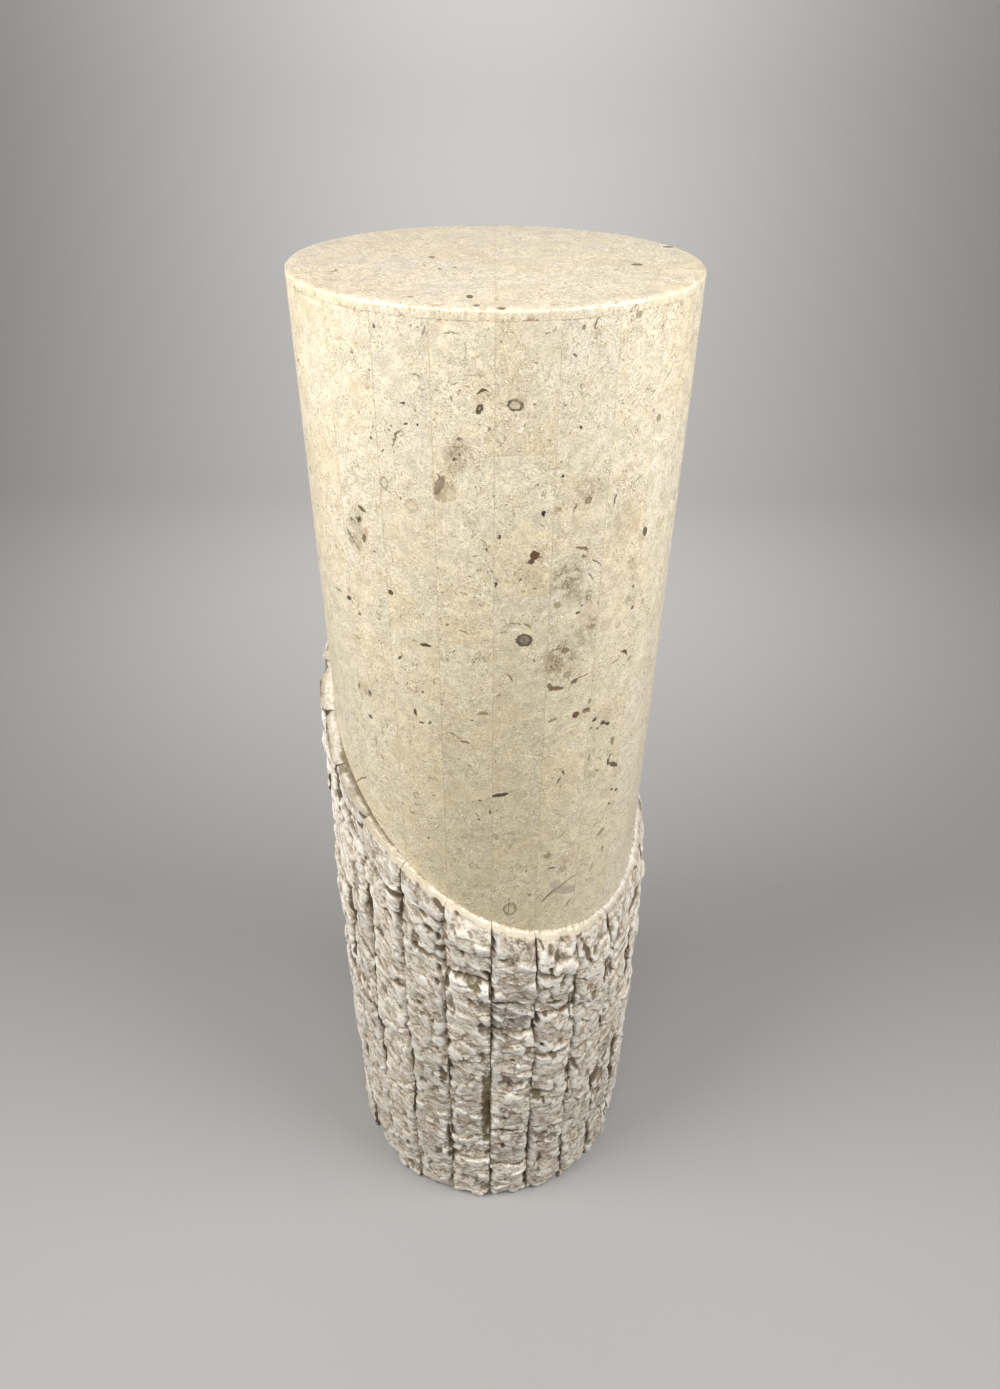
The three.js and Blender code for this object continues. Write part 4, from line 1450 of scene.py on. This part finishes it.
def broken_sides(relief, dirt, u, v, width, key):
    """Both sides are broken back by a different amount along the stave, and are dirty."""
    for side, distance in ((0, u), (1, width - u)):
        along_side = np.full(u.shape, float(side))
        depth = 3.4 * smooth(noise(along_side, v / 21, key + 41 + side), -0.6, 0.9)
        depth = depth + 1.8 * smooth(noise(along_side, v / 6, key + 45 + side), 0.0, 0.8) + 0.7
        reach = 2.2 + 2.6 * (0.5 + 0.5 * noise(along_side, v / 13, key + 51 + side))
        relief = relief - depth * np.exp(-((distance / reach) ** 1.5))
        grime = smooth(noise(along_side, v / 9, key + 55 + side), -0.3, 0.7)
        grime = (0.45 + 0.5 * grime) * np.exp(-((distance / 1.1) ** 2))
        dirt = np.maximum(dirt, grime)
    return relief, dirt


def broken_foot(relief, dirt, u, v, angle, key):
    """The foot's edge is broken too, and dirt reaches up from it, most of all at the right."""
    chip = 4.5 * smooth(noise(u / 14, v * 0, key + 61), -0.2, 0.9)
    relief = relief - chip * np.exp(-((v / 7) ** 1.5)) - 1.2 * np.exp(-((v / 3.0) ** 2))
    dirt = np.maximum(dirt, 0.6 * np.exp(-((v / 4.5) ** 2)))
    low_dirt = smooth(noise(u / 9, v / 12, key + 67), -0.5, 0.7)
    low_dirt = low_dirt * (0.5 + 0.25 * smooth(angle, 5, 45))
    return relief, np.maximum(dirt, low_dirt * np.exp(-((v / 42) ** 2)))


def random_spots(strip, top, random):
    """Spots for the part of a stave that the front doesn't show."""
    spots = []
    for _ in range(int(SPOTS_PER_MM * top)):
        kind = SPOT_KINDS[random.integers(len(SPOT_KINDS))]
        ink = SPOT_INKS[random.integers(len(SPOT_INKS))]
        size = random.uniform(3, 13)
        angle = PITCH * (strip + random.random())
        if kind == "crack":
            tall = random.uniform(2, 4)
        else:
            tall = size * random.uniform(0.5, 1.6)
        if not SPOTS_SEEN[0] < turned_angle(angle) < SPOTS_SEEN[1]:
            height = random.uniform(10, top)
            spots.append((kind, angle, height, size, tall, random.uniform(-20, 20), ink, 0.9))
    return spots


def spotted(relief, dirt, spots, strip, u, v, angle, key):
    """The relief and its dirt with pits, cracks, gaps and stains, and where these are olive,
    grey or red."""
    ragged = 0.6 * fractal(u / 4.2, v / 3.4, key + 71, 3)
    stains = {ink: np.zeros(u.shape) for ink in ("olive", "grey", "red")}
    middle_angle = PITCH * (strip + 0.5)
    for kind, spot_angle, height, wide, tall, lean, ink, strength in spots:
        if abs(turned_angle(spot_angle - middle_angle)) > PITCH * 1.6:
            continue
        away = turned_angle(angle - spot_angle) * DEGREE_ARC
        rise = v - height
        lean = math.radians(lean)
        across = (away * math.cos(lean) + rise * math.sin(lean)) * 2 / wide
        over = (rise * math.cos(lean) - away * math.sin(lean)) * 2 / tall
        inside = strength * smooth(-(np.sqrt(across**2 + over**2) + ragged), -1.6, -0.6)
        relief = relief - SPOT_DEPTH[kind] * inside
        share = STAIN_SHARE if kind == "stain" else 1.0
        dirt = np.maximum(dirt, share * SPOT_DIRT[ink] * inside)
        if ink in stains:
            stains[ink] = np.maximum(stains[ink], inside)
    return relief, dirt, stains


def split_relief(strip, u, v, width, angle):
    """A stave's split face at places u across it and v up it: how far it stands out from the
    mean radius, its dirt, its olive, grey and red stains, and how light its lumps are."""
    random = np.random.default_rng(SEED + 900 + strip)
    key = SEED + 100 * strip
    relief, light = lumps(strip, u, v, width, random)
    relief = flaked(relief, u, v, key, random)
    relief = ridged(relief, strip, u, v, key, random)

    # Broad hollows hold brown dirt
    bowl = smooth(fractal(u / 13, v / 19, key + 83, 4), 0.2, 0.55)
    relief = relief - BOWL_DEPTH * bowl
    relief, dirt = broken_sides(relief, BOWL_DIRT * bowl, u, v, width, key)
    relief, dirt = broken_foot(relief, dirt, u, v, angle, key)
    spots = SPOTS + random_spots(strip, v.max(), random)
    relief, dirt, stains = spotted(relief, dirt, spots, strip, u, v, angle, key)
    return relief, dirt, stains, light


def ledge_filler(angle, radius):
    """Brown filler on the ledge at the left, next to the polished strips: 0 to 1."""
    wide = FILLER_REACH * bell(angle, FILLER_ANGLE, FILLER_SPREAD)
    thin = FILLER_THIN * (smooth(angle, -75, -62) * smooth(-angle, 34, 40))
    return smooth(RADIUS + (wide + thin) - radius, -1.2, 0.6)


def ledge_wear(points):
    """How far the ledge is broken down at points of it, in millimetres. Only its outer part
    is, and at the left more than at the front."""
    angle = np.degrees(np.arctan2(points[:, 0], -points[:, 1]))
    radius = np.hypot(points[:, 0], points[:, 1])
    broken = 0.25 + 0.75 * smooth(-angle, 42, 62) + 0.4 * smooth(angle, 30, 60)
    outer = smooth(radius, RADIUS + 1.5, RADIUS + 9)
    uneven = 0.5 + 0.5 * fractal(points[:, 0] / 5, points[:, 1] / 5, SEED + 77, 3)
    return LEDGE_WEAR * broken * outer * uneven


def cut_shown(angle):
    """How much of the sawn cut's cream shows: all of it at the front, a quarter elsewhere."""
    return 0.25 + 0.75 * smooth(angle, -60, -44) * smooth(-angle, -52, -34)


def face_radius(relief, angle, below):
    """The face's distance from the axis: held between its limits, and led in to the ledge's
    edge where it nears the oblique cut."""
    radius = STAVE_RADIUS + relief
    limit = STAVE_OUTERMOST - 2
    over = radius - limit
    radius = np.where(over > 0, limit + 2 * np.tanh(over / 4), radius)
    radius = np.maximum(radius, STAVE_DEEPEST)
    wide = bell(angle, LEDGE_WIDE_ANGLE, LEDGE_WIDE_SPREAD)
    ledge = RADIUS + LEDGE_NARROW + (LEDGE_WIDE - LEDGE_NARROW) * wide
    ledge = ledge + 2.2 * fractal(angle / 2.3, angle * 0, SEED + 5, 4)
    start = np.minimum(ledge, radius)
    return start + (radius - start) * smooth(below, -2, LEDGE_SLOPE) ** 0.6


def dirt_creases_and_highlights(strip, u, v, radius, dirt):
    """Hollows collect dirt, and what stands out gets a painted highlight. Gives the dirt, the
    fine creases and the painted highlights."""
    hollow = blurred(radius, 4) - radius
    wide_hollow = blurred(radius, 12) - radius
    grime = 0.5 + 0.5 * fractal(u / 26, v / 34, SEED + 700 + strip, 3)
    dirt = np.maximum(dirt, (0.4 + 0.8 * grime) * smooth(hollow, 0.35, 1.7))
    dirt = np.maximum(dirt, (0.3 + 0.6 * grime) * smooth(wide_hollow, 0.9, 3.4))
    dirt[-1] = np.minimum(dirt[-1], 0.4)
    crease = smooth(blurred(radius, 1) - radius, 0.04, 0.42)
    return dirt, crease, smooth(-hollow, 0.05, 1.0)


def stave_rings(strip, up, front):
    """Closed rings up the stave: the split face from left to right, and then the right side,
    the back and the left side."""
    backs = []
    for edge in (1, 0):
        x, y = sector_point(strip, edge, CORE_RADIUS, STAVE_JOINT)
        level = up[:, 0]
        backs.append(np.stack([level * 0 + x, level * 0 + y, level * slant_at(x, y)], axis=1))
    columns = [front[:, i] for i in range(STAVE_COLUMNS + 1)]
    columns += [front[:, -1] * (1 - part) + backs[0] * part for part in SIDE_PARTS]
    columns += backs
    columns += [front[:, 0] * (1 - part) + backs[1] * part for part in SIDE_PARTS[::-1]]
    return np.stack(columns, axis=1)


def side_fan(outer, inner, mirrored):
    """Triangles between a side's own points and the end grid's points beside them, which both
    start at the same corner. Both lists run inwards."""
    fan = []
    i = 0
    j = 0
    while i < len(outer) - 1 or j < len(inner) - 1:
        if j == len(inner) - 1 or (i < len(outer) - 1 and i / len(outer) <= j / len(inner)):
            a, b, c = outer[i], outer[i + 1], inner[j]
            i += 1
        else:
            a, b, c = outer[i], inner[j + 1], inner[j]
            j += 1
        if len({a, b, c}) == 3:
            fan.append((a, c, b) if mirrored else (a, b, c))
    return fan


def stave_end(strip, points, base, ring_size, first, upward):
    """One end of a stave, a grid from its front edge towards the back, and fans round that.
    Gives the new points, numbered from first on, and the quads and triangles."""
    column = np.arange(STAVE_COLUMNS + 1)
    inner_x, inner_y = sector_point(strip, column / STAVE_COLUMNS, CORE_RADIUS, STAVE_JOINT)
    edge = points[base + column]
    rows = [base + column]
    new_points = []
    for step in range(1, END_STEPS + 1):
        part = step / (END_STEPS + 1)
        x = edge[:, 0] * (1 - part) + inner_x * part
        y = edge[:, 1] * (1 - part) + inner_y * part
        z = slant_at(x, y) if upward else np.zeros(len(x))
        new_points.append(np.stack([x, y, z], axis=1))
        rows.append(first + (step - 1) * len(column) + column)
    grid = np.array(rows)
    quads = np.stack([grid[:-1, :-1], grid[:-1, 1:], grid[1:, 1:], grid[1:, :-1]], axis=2)
    quads = quads.reshape(-1, 4)
    right = [base + STAVE_COLUMNS + k for k in range(STAVE_SIDE_STEPS + 1)]
    left = [base] + [base + ring_size - k for k in range(1, STAVE_SIDE_STEPS + 1)]
    last = grid[-1]
    half = STAVE_COLUMNS // 2
    fan = [(last[i], last[i + 1], left[-1] if i < half else right[-1])
           for i in range(STAVE_COLUMNS)]
    fan.append((last[half], right[-1], left[-1]))
    fan += side_fan(right, list(grid[:, -1]), False)
    fan += side_fan(left, list(grid[:, 0]), True)
    fan = np.array(fan)
    if not upward:
        quads = quads[:, ::-1]
        fan = fan[:, ::-1]
    return np.vstack(new_points), quads, fan


def rough_stave(node, material):
    """One split stave, from the floor to the oblique cut."""
    strip = int(node.split("_")[2]) - 1
    face_height = slant_at(*sector_point(strip, 0.5, STAVE_RADIUS, 0))
    row_count = int(face_height / STAVE_STEP) + 1
    across, up = np.meshgrid(np.linspace(0, 1, STAVE_COLUMNS + 1), np.linspace(0, 1, row_count))
    width = math.radians(PITCH) * STAVE_RADIUS
    u = across * width
    v = up * face_height
    angle = turned_angle(PITCH * (strip + across))
    relief, dirt, stains, light = split_relief(strip, u, v, width, angle)
    radius = face_radius(relief, angle, face_height - v)
    dirt, crease, pale = dirt_creases_and_highlights(strip, u, v, radius, dirt)

    x, y = sector_point(strip, across, radius, STAVE_JOINT)
    rings = stave_rings(strip, up, np.stack([x, y, up * slant_at(x, y)], axis=2))
    ring_size = rings.shape[1]
    points = rings.reshape(-1, 3)
    top = (row_count - 1) * ring_size
    first = len(points)
    upper, top_quads, top_fan = stave_end(strip, points, top, ring_size, first, True)
    first += len(upper)
    lower, low_quads, low_fan = stave_end(strip, points, 0, ring_size, first, False)
    quads = np.concatenate([ring_quads(row_count, ring_size), top_quads, low_quads])
    triangles = np.concatenate([top_fan, low_fan])

    # The ledge is worn down after the end is made
    edge = slice(top, top + STAVE_COLUMNS + 1)
    points[edge, 2] -= ledge_wear(points[edge])
    upper[:, 2] -= ledge_wear(upper)
    ends = np.vstack([upper, lower])
    on_top = np.arange(len(ends)) < len(upper)
    side_count = ring_size - STAVE_COLUMNS - 1

    def field(face, sides, upper_end, lower_end):
        """One number a point: on the face, on the sides and back, and on the two ends."""
        beside = np.broadcast_to(sides, (row_count, side_count))
        end = np.where(on_top, upper_end, lower_end)
        return np.concatenate([np.hstack([face, beside]).ravel(), end])

    end_angle = np.degrees(np.arctan2(ends[:, 0], -ends[:, 1]))
    filler = ledge_filler(end_angle, np.hypot(ends[:, 0], ends[:, 1]))
    sawn = np.zeros(angle.shape)
    sawn[-2] = 0.5 * cut_shown(angle[-2])
    sawn[-1] = cut_shown(angle[-1])
    end_sawn = cut_shown(end_angle)
    inward = np.array(SIDE_PARTS + [1, 1] + SIDE_PARTS[::-1])
    ring_angle = np.hstack([angle, np.tile(angle[:, :1], (1, side_count))])
    ring_height = np.tile(v[:, :1], (1, ring_size))
    from_axis = np.hypot(rings[:, :, 0], rings[:, :, 1])
    place = np.stack([ring_angle * DEGREE_ARC, ring_height, from_axis], axis=2)
    stain = [
        field(stains["olive"], 0, filler, 0),
        field(stains["grey"], 0, 0, 0),
        field(stains["red"], 0, 0, 0),
    ]
    fields = {
        "place": np.vstack([place.reshape(-1, 3), ends]),
        "dirt": field(dirt, 0.35 + 0.6 * inward, 0.8 * filler, 0.5),
        "crease": field(crease, 0, 0, 0),
        # On the face pale is a painted highlight where it stands out, on the top end the rough
        # ledge
        "pale": field(pale, 0, 1 - end_sawn, 0),
        "sawn": field(sawn, 0, end_sawn, 0),
        "stain": np.stack(stain, axis=1),
        "tone": field(light, 0.4, 0.5, 0.5),
    }
    points = np.vstack([points, ends])
    piece = solid(node + "_stone", points, quads, triangles, fields, STAVE_SHARP)
    stand_in(piece, node, material)


for tile in TILES:
    polished_tile(tile)
top_slab("top_slab_left", -1)
top_slab("top_slab_right", 1)
stave_finish = split_stone()
for stave in STAVES:
    rough_stave(stave, stave_finish)
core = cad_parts["core_drum"]
core.data.materials.clear()
core.data.materials.append(brown_backing())


# Floor, light and camera

# The backdrop, in metres: its half width, the floor's front edge, the wall's place and top, and
# the radius and steps of the curve between floor and wall
BACKDROP_SIDE = 6.0
FLOOR_FRONT = -4.0
WALL_PLACE = 2.6
WALL_TOP = 4.0
FLOOR_CURVE = 0.9
CURVE_STEPS = 16
FLOOR_GREY = colour(0.37, 0.36, 0.35)

# Place, target, size, power and colour of each light
LIGHTS = {
    "left_light": ((-0.96, -0.42, 1.47), (0, 0, 0.7), 0.9, 22.8, (1.0, 0.995, 0.98)),
    "right_light": ((0.96, -0.42, 1.47), (0, 0, 0.7), 0.9, 20.2, (1.0, 1.0, 1.0)),
    "front_light": ((0.0, -0.85, 1.7), (0, 0, 0.75), 0.8, 5.8, (1.0, 1.0, 1.0)),
    "wall_light": ((0.0, 1.1, 1.5), (0, 2.6, 0.7), 1.6, 34, (1.0, 1.0, 1.0)),
}
WORLD_COLOUR = colour(0.95, 0.97, 1.0)
WORLD_STRENGTH = 0.14

# The photograph's view, worked out from the column's outlines and its top ellipse: turns in
# degrees, distances in polished radii, and the focal length and height in pixels
CAMERA_PITCH = math.radians(35.53)
CAMERA_ROLL = math.radians(0.70)
CAMERA_YAW = math.radians(0.54)
CAMERA_DISTANCE = 4.813
CAMERA_ABOVE_TOP = 0.8636
FOCAL_PIXELS = 918.8
PHOTO_HEIGHT = 1389
SENSOR = 36.0


def backdrop():
    """A pale floor that curves up into a wall behind the column."""
    profile = [(FLOOR_FRONT, 0.0)]
    for step in range(CURVE_STEPS + 1):
        lean = math.pi / 2 * step / CURVE_STEPS
        back = WALL_PLACE - FLOOR_CURVE + FLOOR_CURVE * math.sin(lean)
        profile.append((back, FLOOR_CURVE - FLOOR_CURVE * math.cos(lean)))
    profile.append((WALL_PLACE, WALL_TOP))
    points = [(x, y, z) for y, z in profile for x in (-BACKDROP_SIDE, BACKDROP_SIDE)]
    faces = [(2 * k, 2 * k + 1, 2 * k + 3, 2 * k + 2) for k in range(len(profile) - 1)]
    graph = Graph("pale_floor")
    graph.shader.inputs["Base Color"].default_value = FLOOR_GREY
    graph.shader.inputs["Roughness"].default_value = 0.6
    mesh = bpy.data.meshes.new("pale_backdrop")
    mesh.from_pydata(points, [], faces)
    mesh.shade_smooth()
    mesh.materials.append(graph.material)
    floor = bpy.data.objects.new("pale_backdrop", mesh)
    bpy.context.scene.collection.objects.link(floor)


def area_light(name, place, target, size, power, tint):
    data = bpy.data.lights.new(name, "AREA")
    data.shape = "DISK"
    data.size = size
    data.energy = power
    data.color = tint
    light = bpy.data.objects.new(name, data)
    light.location = place
    aim = Vector(target) - Vector(place)
    light.rotation_euler = aim.to_track_quat("-Z", "Y").to_euler()
    bpy.context.scene.collection.objects.link(light)


def photo_camera():
    level = Vector((math.cos(CAMERA_YAW), -math.sin(CAMERA_YAW), 0))
    forward = Vector((
        math.sin(CAMERA_YAW) * math.cos(CAMERA_PITCH),
        math.cos(CAMERA_YAW) * math.cos(CAMERA_PITCH),
        -math.sin(CAMERA_PITCH),
    ))
    upward = level.cross(forward)
    right = level * math.cos(CAMERA_ROLL) + upward * math.sin(CAMERA_ROLL)
    up = upward * math.cos(CAMERA_ROLL) - level * math.sin(CAMERA_ROLL)
    data = bpy.data.cameras.new("photo_camera")
    data.sensor_fit = "VERTICAL"
    data.sensor_height = SENSOR
    data.lens = SENSOR * FOCAL_PIXELS / PHOTO_HEIGHT
    camera = bpy.data.objects.new("photo_camera", data)
    turn = Matrix((right, up, -forward)).transposed().to_4x4()
    distance = CAMERA_DISTANCE * RADIUS * MM
    above_top = CAMERA_ABOVE_TOP * RADIUS * MM
    place = Matrix.Translation((0, -distance, HEIGHT * MM + above_top))
    camera.matrix_world = place @ turn
    bpy.context.scene.collection.objects.link(camera)
    bpy.context.scene.camera = camera


def soft_world():
    world = bpy.data.worlds.new("soft_world")
    world.use_nodes = True
    background = world.node_tree.nodes["Background"]
    background.inputs["Color"].default_value = WORLD_COLOUR
    background.inputs["Strength"].default_value = WORLD_STRENGTH
    bpy.context.scene.world = world


backdrop()
soft_world()
for name, settings in LIGHTS.items():
    area_light(name, *settings)
photo_camera()
bpy.context.scene.view_settings.view_transform = "Standard"
